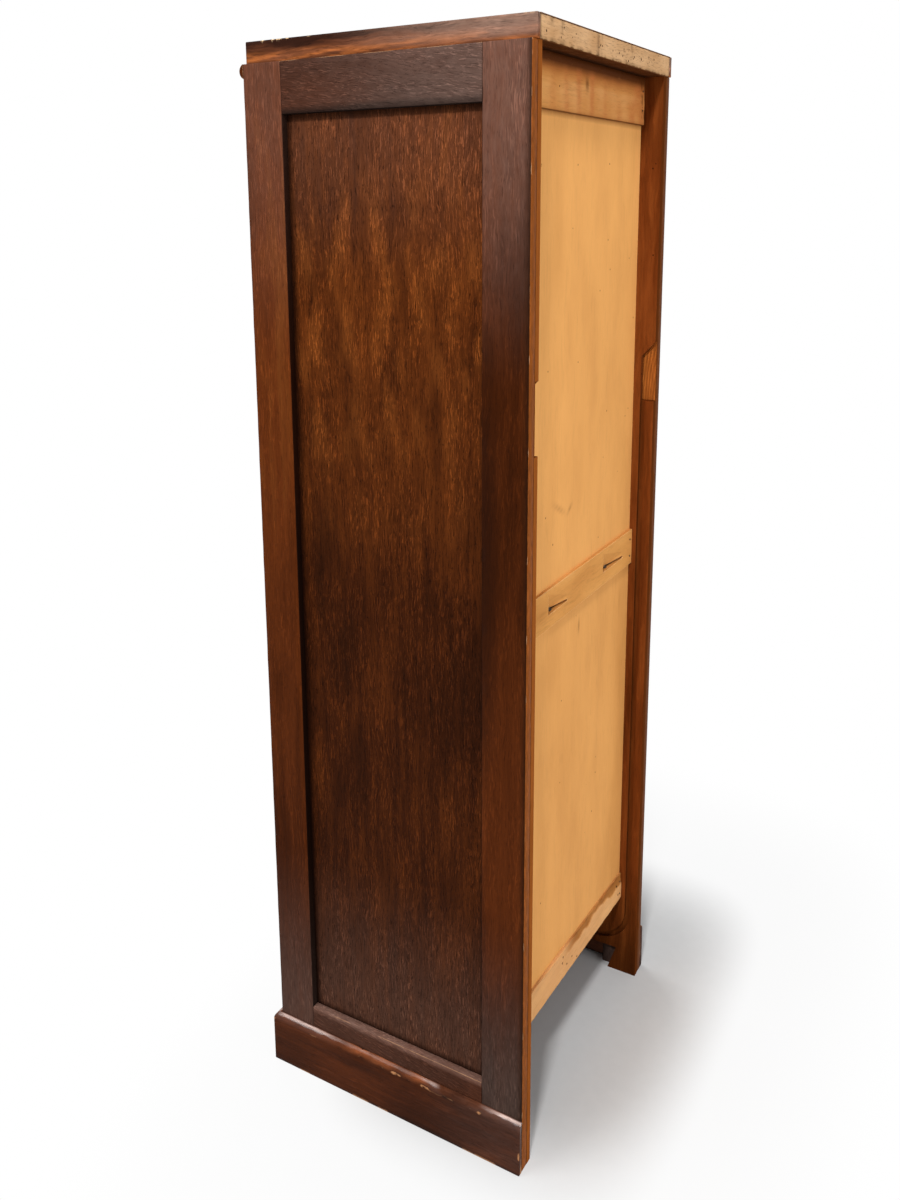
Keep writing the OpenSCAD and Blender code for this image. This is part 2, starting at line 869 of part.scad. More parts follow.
upper_shelf(2);  // upper_shelf_2
upper_shelf(3);  // upper_shelf_3
upper_shelf(4);  // upper_shelf_4
lower_shelf(1);  // lower_shelf_1
lower_shelf(2);  // lower_shelf_2
lower_shelf(3);  // lower_shelf_3
lower_shelf(4);  // lower_shelf_4
right_bearers();
left() right_bearers();  // left_bearers
shutter_slats();
shutter_canvas();
lead_rail();
finger_pulls();
pull_screws();
lock_case();
lock_screws();
lock_cylinder();
lock_bolt();
escutcheon();
strike_plate();
strike_screws();
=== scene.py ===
import math

import bpy
import numpy as np
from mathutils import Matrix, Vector


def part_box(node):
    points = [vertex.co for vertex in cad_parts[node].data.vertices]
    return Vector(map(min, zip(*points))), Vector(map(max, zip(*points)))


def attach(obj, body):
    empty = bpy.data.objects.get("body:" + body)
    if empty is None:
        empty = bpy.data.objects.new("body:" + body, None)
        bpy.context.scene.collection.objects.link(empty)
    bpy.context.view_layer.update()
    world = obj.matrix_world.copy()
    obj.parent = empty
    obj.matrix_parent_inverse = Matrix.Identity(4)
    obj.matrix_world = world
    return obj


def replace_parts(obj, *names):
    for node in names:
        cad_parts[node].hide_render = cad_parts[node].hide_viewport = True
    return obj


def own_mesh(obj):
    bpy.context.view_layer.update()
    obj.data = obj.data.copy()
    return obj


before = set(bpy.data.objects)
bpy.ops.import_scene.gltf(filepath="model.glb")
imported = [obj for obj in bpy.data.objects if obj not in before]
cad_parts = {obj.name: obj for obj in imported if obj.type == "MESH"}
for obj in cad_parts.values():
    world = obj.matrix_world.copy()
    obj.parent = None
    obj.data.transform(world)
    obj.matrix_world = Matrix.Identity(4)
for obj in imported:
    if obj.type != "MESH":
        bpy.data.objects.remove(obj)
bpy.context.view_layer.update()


# The oak frames of the two sides. The stiles run the full height and the rails are tenoned
# between them. Planed oak under a dark stain and a satin varnish, rubbed along the outer
# arrises, with a painted grey sheen, partly dust, at the head and foot, painted shade on the
# walls round the panels, and left thinly stained on the rear edges.
def stain(r, g, b):
    """Turns a colour of 0-255 values into linear light, each c by ((c + 0.055) / 1.055) ** 2.4."""
    channels = np.array([r, g, b]) / 255
    light = np.where(channels > 0.04045, ((channels + 0.055) / 1.055) ** 2.4, channels / 12.92)
    return (*light.tolist(), 1.0)


def finish_named(name):
    """A new finish, with its nodes and its shader."""
    finish = bpy.data.materials.new(name)
    finish.use_nodes = True
    return finish, finish.node_tree, finish.node_tree.nodes["Principled BSDF"]


def put(tree, kind, links, **settings):
    """Adds one node to a finish. Links gives its sockets, by name or number, a value or a wire."""
    made = tree.nodes.new("ShaderNode" + kind)
    for key, value in settings.items():
        setattr(made, key, value)
    for key, value in links.items():
        if isinstance(value, bpy.types.NodeSocket):
            tree.links.new(value, made.inputs[key])
        else:
            made.inputs[key].default_value = value
    return made


def spots(tree):
    """Where each point is on its piece, in metres."""
    return put(tree, "TexCoord", {}).outputs["Object"]


def fade(tree, value, low, high):
    """A smooth step: 0 at low, 1 at high."""
    links = {"Value": value, "From Min": low, "From Max": high}
    return put(tree, "MapRange", links, interpolation_type="SMOOTHSTEP").outputs["Result"]


def times(tree, a, b):
    """The product of two values."""
    return put(tree, "Math", {0: a, 1: b}, operation="MULTIPLY").outputs[0]


def more(tree, total, value, share):
    """Adds a share of a value to a total."""
    return put(tree, "Math", {0: value, 1: share, 2: total}, operation="MULTIPLY_ADD").outputs[0]


def lay(tree, under, upper, share, way="MIX"):
    """One colour laid over another, by a share from 0 to 1."""
    mix = put(tree, "Mix", {0: share, 6: under, 7: upper}, data_type="RGBA", blend_type=way)
    return mix.outputs[2]


def bands(tree, value, tones):
    """A band of colours of 0-255 values, evenly spaced from 0 to 1."""
    made = put(tree, "ValToRGB", {"Fac": value})
    elements = made.color_ramp.elements
    while len(elements) < len(tones):
        elements.new(0.5)
    for index, colour in enumerate(tones):
        elements[index].position = index / (len(tones) - 1)
        elements[index].color = stain(*colour)
    return made.outputs["Color"]


def timber(name, grain, tones, worn, dirt_and_shade, glow, dust_and_sheen, level=0.45, figure=(0.05, 0.35), lines=(0.0018, 0.5),
           flecks=(0.0022, 0.35), pores=0.3, clouds=(0.2, 0.16), specks=0.0, slant=0.0, ends=None,
           arris=0.0, rough=(0.42, 0.58), shine=0.02, varnish=0.0, relief=0.4, hollow=None, curl=3.0):
    """Wood. A noise drawn out along the grain moves the tone along a band of stain colours, finer
    ones give lines, flecks and pores, a slow one clouds. The piece's own attributes shift the
    tone and say where it is glowing, where it has a painted sheen with some dust, where it is
    dirty or darkened as painted shade, where it is worn bare and where it is glossy. Figure,
    lines, flecks and clouds are each a size across the grain, in metres, and a strength. Curl is
    how finely the grain wanders, slant turns it. Ends is an axis and the colour of the faces that
    look along it. Hollow is an axis, the places on it where its darkening begins and is full, and
    its share."""
    finish, tree, shader = finish_named(name)
    worn, dirt_and_shade, glow, dust_and_sheen = (stain(*colour) for colour in (worn, dirt_and_shade, glow, dust_and_sheen))
    spot = spots(tree)
    links = {"Vector": spot, "Scale": 12.0, "Detail": curl, "Roughness": 0.6}
    drift = put(tree, "TexNoise", links).outputs["Color"]
    drift = put(tree, "VectorMath", {0: drift, 1: (0.5, 0.5, 0.5)}, operation="SUBTRACT").outputs[0]
    drift = put(tree, "VectorMath", {0: drift, "Scale": 0.014}, operation="SCALE").outputs[0]
    place = put(tree, "VectorMath", {0: spot, 1: drift}, operation="ADD").outputs[0]
    if slant:
        links = {"Vector": place, "Angle": slant}
        place = put(tree, "VectorRotate", links, rotation_type="X_AXIS").outputs[0]

    def drawn(size, share, detail=2.0, away=0.0):
        """Noise of that size across the grain, and 1/share of it along the grain."""
        stretch = [1.0, 1.0, 1.0]
        stretch[grain] = share
        links = {"Vector": place, "Scale": tuple(stretch), "Location": (away, away, away)}
        along = put(tree, "Mapping", links).outputs[0]
        links = {"Vector": along, "Scale": 1 / size, "Detail": detail, "Roughness": 0.55}
        return put(tree, "TexNoise", links).outputs[0]

    def own(attribute):
        """One of the piece's own attributes, which is 0 where it has none."""
        return put(tree, "Attribute", {}, attribute_name=attribute).outputs["Fac"]

    speckle = drawn(0.006, 0.4, 4.0, 9.0)
    tone = more(tree, level - figure[1] / 2, own("tone"), 1.0)
    tone = more(tree, tone, drawn(figure[0], 0.06, 3.0), figure[1])
    tone = more(tree, tone, fade(tree, drawn(clouds[0], 0.4, 3.0, 11.0), 0.35, 0.75), -clouds[1])
    colour = bands(tree, tone, tones)
    # The hollow darkens by place along an axis: painted shade deep in the mid rail's pockets, and a darker
    # foot on the linings.
    if hollow:
        axis, begin, full, most = hollow
        deep = put(tree, "SeparateXYZ", {0: spot}).outputs[axis]
        colour = lay(tree, colour, dirt_and_shade, times(tree, fade(tree, deep, begin, full), most))
    if ends:
        axis, cut = ends
        facing = put(tree, "NewGeometry", {}).outputs["True Normal"]
        facing = put(tree, "SeparateXYZ", {0: facing}).outputs[axis]
        colour = lay(tree, colour, stain(*cut), fade(tree, facing, 0.8, 0.95))
    colour = lay(tree, colour, glow, times(tree, own("glow"), more(tree, 0.5, speckle, 0.8)))
    # Lays the painted sheen, with some dust, where the piece asks for it.
    colour = lay(tree, colour, dust_and_sheen, times(tree, own("dust_and_sheen"), more(tree, 0.5, speckle, 0.8)))
    fine = drawn(lines[0], 0.03, 2.0, 1.0)
    thin = fade(tree, drawn(flecks[0], 0.09, 2.0, 3.0), 0.52, 0.66)
    thin = times(tree, thin, fade(tree, drawn(0.03, 0.2, 2.0, 7.0), 0.3, 0.6))
    pore = fade(tree, drawn(0.0009, 0.06, 1.0, 5.0), 0.42, 0.3)
    grey = more(tree, 1 - lines[1] / 2, fine, lines[1])
    grey = more(tree, grey, thin, flecks[1])
    grey = more(tree, grey, pore, -pores)
    colour = lay(tree, colour, grey, 1.0, "MULTIPLY")
    if specks:
        cells = put(tree, "TexVoronoi", {"Vector": place, "Scale": 1 / 0.011})
        dot = fade(tree, cells.outputs["Distance"], 0.13, 0.07)
        few = put(tree, "SeparateXYZ", {0: cells.outputs["Color"]}).outputs[0]
        dot = times(tree, dot, fade(tree, few, 1 - specks, 1 - specks * 0.8))
        colour = lay(tree, colour, dirt_and_shade, times(tree, dot, 0.85))
    # Lays dirt, and painted shade where the piece asks for it.
    colour = lay(tree, colour, dirt_and_shade, times(tree, own("dirt_and_shade"), fade(tree, speckle, 0.05, 0.4)))
    rubbed = own("worn")
    if arris:
        flat = put(tree, "NewGeometry", {}).outputs["Normal"]
        eased = put(tree, "Bevel", {"Radius": arris}, samples=4).outputs[0]
        turned = put(tree, "VectorMath", {0: flat, 1: eased}, operation="DOT_PRODUCT").outputs["Value"]
        rubbed = more(tree, rubbed, fade(tree, turned, 0.99, 0.8), 0.9)
    patchy = more(tree, 0.3, speckle, 1.1)
    rubbed = fade(tree, times(tree, rubbed, patchy), 0.35, 0.7)
    colour = lay(tree, colour, worn, rubbed)
    tree.links.new(colour, shader.inputs["Base Color"])
    gloss = more(tree, times(tree, speckle, 0.6), pore, 0.4)
    links = {"Value": gloss, "From Min": 0.15, "From Max": 0.7, "To Min": rough[0], "To Max": rough[1]}
    tree.links.new(put(tree, "MapRange", links).outputs[0], shader.inputs["Roughness"])
    shader.inputs["Specular IOR Level"].default_value = shine
    if varnish:
        tree.links.new(times(tree, own("gloss"), varnish), shader.inputs["Coat Weight"])
        shader.inputs["Coat Roughness"].default_value = 0.16
    height = more(tree, times(tree, fine, 0.4), thin, 0.4)
    height = more(tree, height, pore, -0.4)
    links = {"Height": height, "Strength": relief, "Distance": 0.0006}
    if arris:
        links["Normal"] = eased
    tree.links.new(put(tree, "Bump", links).outputs[0], shader.inputs["Normal"])
    return finish


def dress(nodes, finish):
    """Gives CAD nodes their finish."""
    for name in nodes:
        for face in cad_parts[name].material_slots:
            face.material = finish


def mottle(points, size, seed):
    """Soft mottling from 0 to 1: nine sine waves about that long, in seeded directions, added up."""
    draw = np.random.default_rng(seed)
    ways = draw.normal(size=(9, 3))
    ways *= 2 * np.pi / size * draw.uniform(0.6, 1.7, (9, 1)) / np.linalg.norm(ways, axis=1)[:, None]
    waves = np.sin(points @ ways.T + draw.uniform(0, 2 * np.pi, 9))
    return np.clip(0.5 + waves.sum(-1) / 8, 0, 1)


def ease(value, low, high):
    """The smooth step t * t * (3 - 2 * t) from 0 at low to 1 at high, on whole arrays."""
    t = np.clip((value - low) / (high - low), 0, 1)
    return t * t * (3 - 2 * t)


def nicks(run, places, reach):
    """Chips along an edge: the largest exp(-((run - place) / reach) ** 2) at each point."""
    gaps = (run[..., None] - np.array(places)) / reach
    return np.exp(-gaps ** 2).max(-1)


def squared(w, h, r, step):
    """The outline of a sawn board, w by h round the origin: four quarter circles of radius r with
    straight runs between them. Also gives 1 at the middle of each quarter circle, 0 on the flats."""
    turns = np.radians(np.linspace(0, 90, 5))
    spots, arris = [], []
    for quarter, (i, j) in enumerate([(1, 1), (-1, 1), (-1, -1), (1, -1)]):
        angle = turns + quarter * np.pi / 2
        arc = np.c_[i * (w / 2 - r) + r * np.cos(angle), j * (h / 2 - r) + r * np.sin(angle)]
        run = (h if quarter % 2 else w) - 2 * r
        parts = max(2, round(run / step))
        ahead = np.array([-np.sin(angle[-1]), np.cos(angle[-1])])
        flat = arc[-1] + np.linspace(0, run, parts + 1)[1:-1, None] * ahead
        spots += [arc, flat]
        arris += [np.sin(2 * turns), np.zeros(len(flat))]
    return np.vstack(spots), np.concatenate(arris)


def skin(name, points, faces, finish, slot, **attributes):
    """Makes the mesh of a piece, smooth all over, with its own attributes, riding on the cabinet."""
    mesh = bpy.data.meshes.new(name)
    mesh.from_pydata(points.tolist(), [], faces)
    mesh.shade_smooth()
    for key, values in attributes.items():
        layer = mesh.attributes.new(key, "FLOAT", "POINT")
        layer.data.foreach_set("value", np.ascontiguousarray(values, np.float32))
    mesh.materials.append(finish)
    piece = bpy.data.objects.new(name, mesh)
    bpy.context.scene.collection.objects.link(piece)
    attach(piece, "cabinet")
    return piece


def carry(outline, start, stop, across, up, step, mitres=(0, 0), rounding=0.0008):
    """A section carried along a line: P(u, v) = start + v * along + a(u) * across + b(u) * up.
    Near each end the section draws in by r * (1 - sin t) as v goes in by r * (1 - cos t), and
    the end closes on its middle. A mitre moves each point along by its a times the mitre.
    Gives the points in rings, the outward normals and the faces."""
    start, stop, across, up = (np.array(v, float) for v in (start, stop, across, up))
    along = stop - start
    length = np.linalg.norm(along)
    along /= length
    turn = np.roll(outline, -1, 0) - np.roll(outline, 1, 0)
    turn /= np.linalg.norm(turn, axis=1)[:, None]
    out = np.c_[turn[:, 1], -turn[:, 0]]
    t = np.radians([0, 30, 60, 90])
    draw_in = np.concatenate([[rounding * 1.8], rounding * (1 - np.sin(t))])
    go_in = np.concatenate([[0], rounding * (1 - np.cos(t))])
    middle = np.linspace(rounding, length - rounding, max(2, round(length / step)) + 1)[1:-1]
    v = np.concatenate([go_in, middle, length - go_in[::-1]])
    inset = np.concatenate([draw_in, np.zeros(len(middle)), draw_in[::-1]])
    section = outline[None] - inset[:, None, None] * out[None]
    travel = np.repeat(v[:, None], len(outline), 1)
    travel += (1 - v / length)[:, None] * section[:, :, 0] * mitres[0]
    travel += (v / length)[:, None] * section[:, :, 0] * mitres[1]
    points = start + travel[..., None] * along + section[..., :1] * across + section[..., 1:] * up
    normals = out[:, :1] * across + out[:, 1:] * up
    m, n = points.shape[:2]
    ring = np.arange(m - 1)[:, None] * n
    here, after = ring + np.arange(n), ring + np.roll(np.arange(n), -1)
    quads = np.stack([here, after, after + n, here + n], -1).reshape(-1, 4)
    first, last = m * n, m * n + 1
    spin = np.roll(np.arange(n), -1)
    near = np.stack([spin, np.arange(n), np.full(n, first)], -1)
    far = np.stack([np.arange(n), spin, np.full(n, last - (m - 1) * n)], -1) + (m - 1) * n
    if np.dot(np.cross(across, up), along) < 0:
        quads, near, far = quads[:, ::-1], near[:, ::-1], far[:, ::-1]
    return points, normals, quads.tolist() + near.tolist() + far.tolist()


def closed(rings):
    """The rings of a carried section as one list, with the middles of its two ends added."""
    return np.vstack([rings.reshape(-1, rings.shape[-1]), rings[0].mean(0), rings[-1].mean(0)])


def planed(name, node, outline, rub, line, across, up, finish, slot, seed, work=None, step=0.008,
           arris=0.001):
    """A board with a given outline, carried along a line, which stands for a CAD node. The plane
    left its faces uneven by up to 0.1 mm, by a mottling of 0.15 m. Work(points, rub) may add a
    depth and the piece's own attributes. Each point sinks by its depth along its normal."""
    points, normals, faces = carry(outline, *line, across, up, step, rounding=arris)
    rub = np.broadcast_to(rub, points.shape[:2])
    depth, marks = 0.0001 * mottle(points, 0.15, seed), {}
    if work:
        deeper, marks = work(points, rub)
        depth = depth + deeper
    points = closed(points - depth[..., None] * normals)
    marks = {key: closed(np.broadcast_to(value, rub.shape)[..., None])[:, 0] for key, value in marks.items()}
    piece = skin(name, points, faces, finish, slot, **marks)
    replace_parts(piece, node)
    return piece


def board(name, node, along, finish, slot, seed, section_step=0.008, arris=0.001, shows=None, **rest):
    """A planed board that fills the box of its CAD node, or shows only between two places on it."""
    low, high = (np.array(corner, float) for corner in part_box(node))
    axis = "xyz".index(along)
    if shows:
        low[axis], high[axis] = shows
    a, b = (axis + 1) % 3, (axis + 2) % 3
    size, unit = high - low, np.eye(3)
    outline, rub = squared(size[a], size[b], arris, section_step)
    line = ((low + high) / 2, (low + high) / 2)
    line[0][axis], line[1][axis] = low[axis], high[axis]
    return planed(name, node, outline, rub, line, unit[a], unit[b], finish, slot, seed, arris=arris, **rest)


case_top, rear_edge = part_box("right_rear_stile")[1].z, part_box("right_rear_stile")[1].y
front_edge, side_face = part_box("right_front_stile")[0].y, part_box("right_front_stile")[1].x
panel_front, panel_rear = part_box("right_front_stile")[1].y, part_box("right_rear_stile")[0].y
panel_sill, panel_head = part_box("right_bottom_rail")[1].z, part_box("right_top_rail")[0].z
oak_tones = [(26, 9, 3), (56, 23, 5), (87, 40, 13), (118, 66, 26), (152, 96, 48)]
# The grey is laid on as a painted sheen with some dust; the near-black serves for dirt and for painted shade.
oak_tints = {"worn": (182, 138, 100), "dirt_and_shade": (18, 9, 6), "glow": (136, 74, 28), "dust_and_sheen": (132, 108, 98)}
upright_oak = timber("stained_oak_upright", 2, oak_tones, **oak_tints, figure=(0.012, 0.34),
                     flecks=(0.0016, 0.5), clouds=(0.15, 0.2))
cross_oak = timber("stained_oak_across", 1, oak_tones, **oak_tints, figure=(0.03, 0.25),
                   flecks=(0.0012, 0.9), slant=0.16, relief=0.9, curl=5.0)


def polish(points):
    """The aged polish: tone from the foot to the head, along the front and the rear, and a painted grey
    sheen, with some dust, at the head and foot.
    """
    y, z = points[..., 1], points[..., 2]
    front = ease(y, 0.03, -0.13)
    rear_tone = np.interp(z, [0.05, 0.25, 0.45, 0.75, 0.95, 1.15, 1.3],
                          [-0.46, -0.11, -0.02, -0.13, -0.06, 0.0, 0.01])
    front_tone = np.interp(z, [0.05, 0.25, 0.5, 0.8, 1.1, 1.3],
                           [-0.23, -0.09, 0.02, 0.08, 0.13, 0.08])
    # Painted sheen, with some dust, at the head and the foot.
    dust_and_sheen = ease(z, 0.95, 1.3) * (0.34 - 0.18 * front) + ease(z, 0.35, 0.05) * 0.24
    return rear_tone + (front_tone - rear_tone) * front, dust_and_sheen


def stile_wear(points, rub):
    """Painted shade on the walls round the panel, thinly stained on the rear edge, chipped on the arrises."""
    x, y, z = np.abs(points[..., 0]), points[..., 1], points[..., 2]
    tone, dust_and_sheen = polish(points)
    # wall: painted shade on the walls of the rebate round the panel.
    wall = np.where(y < 0, ease(y, panel_front - 0.0014, panel_front - 0.0004),
                    ease(y, panel_rear + 0.0014, panel_rear + 0.0004))
    wall = wall * ease(x, side_face, side_face - 0.0006)
    rear = ease(y, rear_edge - 0.0012, rear_edge - 0.0003)
    chips = nicks(z, [0.08, 0.19, 0.31, 0.62, 0.69, 0.78, 0.9, 0.998, 1.07, 1.19, 1.265], 0.004)
    outer = ease(x, side_face - 0.0012, side_face - 0.0004) * rub
    patchy = ease(mottle(points * [1, 1, 0.6], 0.03, 5), 0.45, 0.75)
    worn = outer * (0.2 * patchy + 1.2 * chips * (y > 0) + 0.8 * ease(z, case_top - 0.002, case_top))
    worn = worn + rear * ease(x, side_face - 0.003, side_face - 0.0015) * 0.25
    band = (y > 0) * ease(z, 1.0, 0.85) * ease(z, 0.45, 0.6) * ease(y, 0.155, 0.138)
    far = rear * (points[..., 0] < 0)
    line = ease(y, rear_edge - 0.0042, rear_edge - 0.0025) * (1 - rear)
    line = line * ease(x, side_face - 0.002, side_face)
    dirt_and_shade = np.clip(wall * 0.75 + band * 0.4 + far * 0.45 + line * 0.9, 0, 1)
    tone = tone - wall * 0.35 + 0.06 * (mottle(points * [1, 1, 0.4], 0.12, 9) - 0.5)
    depth = 0.0003 * rub * mottle(points, 0.05, 4) + 0.0012 * chips * rub * (y > 0)
    glow = rear * (0.85 + 0.15 * mottle(points * [1, 1, 0.3], 0.05, 10))
    return depth, {"tone": tone, "dust_and_sheen": dust_and_sheen * (1 - rear), "glow": glow, "dirt_and_shade": dirt_and_shade, "worn": worn}


def rail_wear(points, rub):
    """The top rails dark, greyed to the rear by a painted sheen and darkened underneath by painted
    shade, the bottom rails an even brown with painted light, a painted sheen and some dust on
    their upper edge. Their upper arrises are rubbed pale in places."""
    x, y, z = np.abs(points[..., 0]), points[..., 1], points[..., 2]
    tone, dust_and_sheen = polish(points)
    low, high, rear = z < 0.5, z > 0.5, ease(y, -0.05, 0.12)
    # The ledge, the upper edge of the bottom rails, gets painted light and a painted sheen with some dust;
    # the underside of the top rails gets painted shade.
    ledge = ease(z, panel_sill - 0.0015, panel_sill - 0.0004) * low
    under = ease(z, panel_head + 0.0012, panel_head + 0.0002) * high
    patchy = ease(mottle(points * [1, 0.5, 1], 0.03, 6), 0.3, 0.6)
    upper = ease(z, panel_sill - 0.003, panel_sill - 0.001) * low + ease(z, case_top - 0.002, case_top)
    worn = rub * ease(x, side_face - 0.001, side_face - 0.0003) * (0.4 + 0.6 * patchy) * upper
    # Painted sheen: greyer to the rear of the top rails, and strongest on the ledge.
    dust_and_sheen = dust_and_sheen * 0.6 * (1 - ledge) + rear * (high * 0.16 - low * 0.05) + ledge * 0.55
    tone = np.where(low, -0.21 + 0.11 * ease(y, -0.13, 0.15) + ledge * 0.2, tone)
    tone = tone - under * 0.4 - (0.27 + 0.05 * rear) * high
    tone = tone + 0.08 * (mottle(points * [1, 0.4, 1], 0.08, 9) - 0.5)
    return rub * 0.0003, {"tone": tone, "dust_and_sheen": dust_and_sheen, "dirt_and_shade": under * 0.8, "worn": worn}


for seed, side in enumerate(("right", "left")):
    for part in ("front_stile", "rear_stile"):
        board(f"{side}_{part}_oak", f"{side}_{part}", "z", upright_oak, "frame_oak", 20 + seed,
              work=stile_wear, step=0.004)
    for part in ("top_rail", "bottom_rail"):
        board(f"{side}_{part}_oak", f"{side}_{part}", "y", cross_oak, "frame_oak", 30 + seed,
              shows=(panel_front, panel_rear), work=rail_wear, arris=0.0007, step=0.005)


# The oak panels, thin boards that lie in rebates behind the frames, 9.5 mm back from the face.
# Straight-grained oak with short amber flecks, warmer in the upper half where light and
# polish have bleached it, darkened along the edges by painted shade from the rebates,
# darker towards the foot, and with a painted sheen at the foot and head.
panel_tones = [(24, 9, 3), (52, 22, 6), (84, 40, 12), (116, 62, 22), (158, 94, 38)]
panel_oak = timber("flecked_panel_oak", 2, panel_tones, worn=(186, 126, 72), dirt_and_shade=(22, 9, 5),
                   glow=(146, 80, 32), dust_and_sheen=(128, 92, 76), figure=(0.008, 0.4), lines=(0.0013, 1.1),
                   flecks=(0.0013, 1.4), clouds=(0.08, 0.14), pores=0.6, relief=0.9, curl=6.0)


def panel_polish(points, rub):
    """Amber in soft upright streaks in the upper half, painted shade round the edges, darker
    towards the foot, and a painted sheen at the foot and head."""
    y, z = points[..., 1], points[..., 2]
    tone = np.interp(z, [0.1, 0.25, 0.45, 0.7, 0.9, 1.05, 1.2],
                     [-0.14, -0.08, -0.12, -0.15, -0.04, 0.02, 0.04])
    tone = tone + 0.1 * (mottle(points * [1, 1, 0.3], 0.07, 14) - 0.5)
    patches = ease(mottle(points * [1, 1, 0.5], 0.035, 12), 0.4, 0.9)
    warm = ease(z, 0.7, 1.0) * ease(z, 1.22, 1.12) * patches * 0.25
    gap = np.min(np.stack([y - panel_front, panel_rear - y, z - panel_sill, panel_head - z]), axis=0)
    # Painted shade round the edges and along the front stile's wall, and a darker foot.
    edge_shade_and_foot_dark = ease(gap, 0.01, 0.0) * 0.5 + ease(y - panel_front, 0.012, 0.0) * 0.3
    edge_shade_and_foot_dark = edge_shade_and_foot_dark + ease(z, 0.6, 0.15) * 0.34
    # Painted sheen at the foot and head.
    dust_and_sheen = ease(z, 1.05, 1.25) * 0.13 + ease(z, 0.35, 0.1) * 0.34
    return 0.0, {"tone": tone, "glow": warm, "dust_and_sheen": dust_and_sheen, "dirt_and_shade": np.clip(edge_shade_and_foot_dark, 0, 1)}


for seed, side in enumerate(("right", "left")):
    board(f"{side}_panel_oak", f"{side}_panel", "z", panel_oak, "panel_oak", 40 + seed,
          work=panel_polish, arris=0.0004)


# The softwood linings inside the sides, with the track for the shutter and its loading notch
# cut in them. Stained red-brown; the rear edges are lighter on the right lining and darker on
# the left, and both darken towards the foot.
pine_tones = [(40, 16, 4), (74, 33, 10), (106, 52, 19), (134, 72, 30), (166, 100, 48)]
pine_tints = {"worn": (150, 92, 46), "dirt_and_shade": (26, 11, 4), "glow": (166, 98, 42), "dust_and_sheen": (150, 118, 100)}
lining_look = {"figure": (0.012, 0.7), "lines": (0.003, 0.6), "flecks": (0.005, 0.15),
               "clouds": (0.1, 0.1), "pores": 0.15, "shine": 0.0, "rough": (0.55, 0.75), "specks": 0.12,
               "hollow": (2, 0.14, 0.0, 0.6)}
right_lining_pine = timber("stained_pine_right", 2, pine_tones, **pine_tints, **lining_look, level=0.5,
                           ends=(1, (140, 78, 32)))
left_lining_pine = timber("stained_pine_left", 2, pine_tones, **pine_tints, **lining_look, level=0.54,
                          ends=(1, (92, 46, 18)))
dress(["right_lining"], right_lining_pine)
dress(["left_lining"], left_lining_pine)


# The floors of the two loading notches. The chisel left bare orange pine there, with its grain
# running in curves round a knot, and the tool marks still stand up a little.
notch_tones = [(96, 50, 18), (122, 66, 24), (146, 82, 32), (170, 100, 42), (196, 128, 66)]
bare_pine = timber("bare_notch_pine", 2, notch_tones, **pine_tints, level=0.5, figure=(0.01, 0.3),
                   lines=(0.002, 0.3), clouds=(0.05, 0.1), pores=0.1, rough=(0.6, 0.8))


def sheet(front, back):
    """A closed sheet between two grids of points: both grids, joined round their edges. Its faces
    point outwards where the front grid's rows crossed with its columns point away from the back."""
    m, n = front.shape[:2]
    index = np.arange(m * n).reshape(m, n)
    quads = np.stack([index[:-1, :-1], index[1:, :-1], index[1:, 1:], index[:-1, 1:]], -1).reshape(-1, 4)
    rim = np.concatenate([index[0, :-1], index[:-1, -1], index[-1, :0:-1], index[:0:-1, 0]])
    after = np.roll(rim, -1)
    wall = np.stack([rim, after, after + m * n, rim + m * n], -1)
    points = np.vstack([front.reshape(-1, 3), back.reshape(-1, 3)])
    return points, np.vstack([quads, quads[:, ::-1] + m * n, wall]).tolist()


notch_low, notch_high, notch_rise, notch_front = 0.891, 0.953, 0.021, 0.1672
notch_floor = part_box("right_lining")[0].x + 0.008
ring_gap = 0.0034
# From u = 0 at the front to 1 at the rear, v = 0 at the foot to 1 at the sloping head. The floor
# stands up by 0.4 mm, and by up to 0.5 mm more on each ring sin(2 * pi * distance / gap) round a
# point below the rear corner, drawn out along the grain.
for side, way in (("right", 1), ("left", -1)):
    u, v = np.meshgrid(np.linspace(0, 1, 30), np.linspace(0, 1, 70), indexing="ij")
    wavy = 0.0012 * np.sin(u * 9 + 1.0) * np.sin(np.pi * u)
    y = notch_front + 0.0004 + u * (rear_edge - notch_front - 0.001)
    z = notch_low + 0.0003 + v * (notch_high - notch_low + notch_rise * u - 0.0008 + wavy)
    rings = np.sin(np.hypot(y - rear_edge - 0.012, (z - notch_low + 0.01) * 0.22) * 2 * np.pi / ring_gap)
    raised = 0.0004 + 0.0005 * (0.5 + 0.5 * rings) * mottle(np.stack([y, z, u], -1), 0.02, 3)
    shown = np.stack([way * (notch_floor - raised), y, z], -1)
    bed = np.stack([np.full_like(y, way * notch_floor), y, z], -1)
    order = slice(None) if way < 0 else slice(None, None, -1)
    points, faces = sheet(shown[order], bed[order])
    dark = np.tile(0.14 * rings[order].ravel(), 2)
    skin(f"{side}_notch_bare_floor", points, faces, bare_pine, "softwood_stained", tone=dark)


# The plinth, three lengths of oak mitred at the front corners and glued to the sides, with a
# quarter-round top edge that boots and brooms have dented and rubbed to bare orange wood.
plinth_look = {"level": 0.34, "figure": (0.01, 0.35), "flecks": (0.003, 0.3), "varnish": 0.9,
               "rough": (0.36, 0.55)}
# The pale pink is laid on as the painted highlight along the rounding.
plinth_tints = {**oak_tints, "glow": (150, 82, 44), "dust_and_sheen": (205, 178, 168), "worn": (166, 116, 78)}
plinth_side_oak = timber("rubbed_plinth_oak_side", 1, oak_tones, **plinth_tints, **plinth_look)
plinth_front_oak = timber("rubbed_plinth_oak_front", 0, oak_tones, **plinth_tints, **plinth_look)
plinth_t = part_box("plinth_right")[1].x - side_face
plinth_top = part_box("plinth_right")[1].z


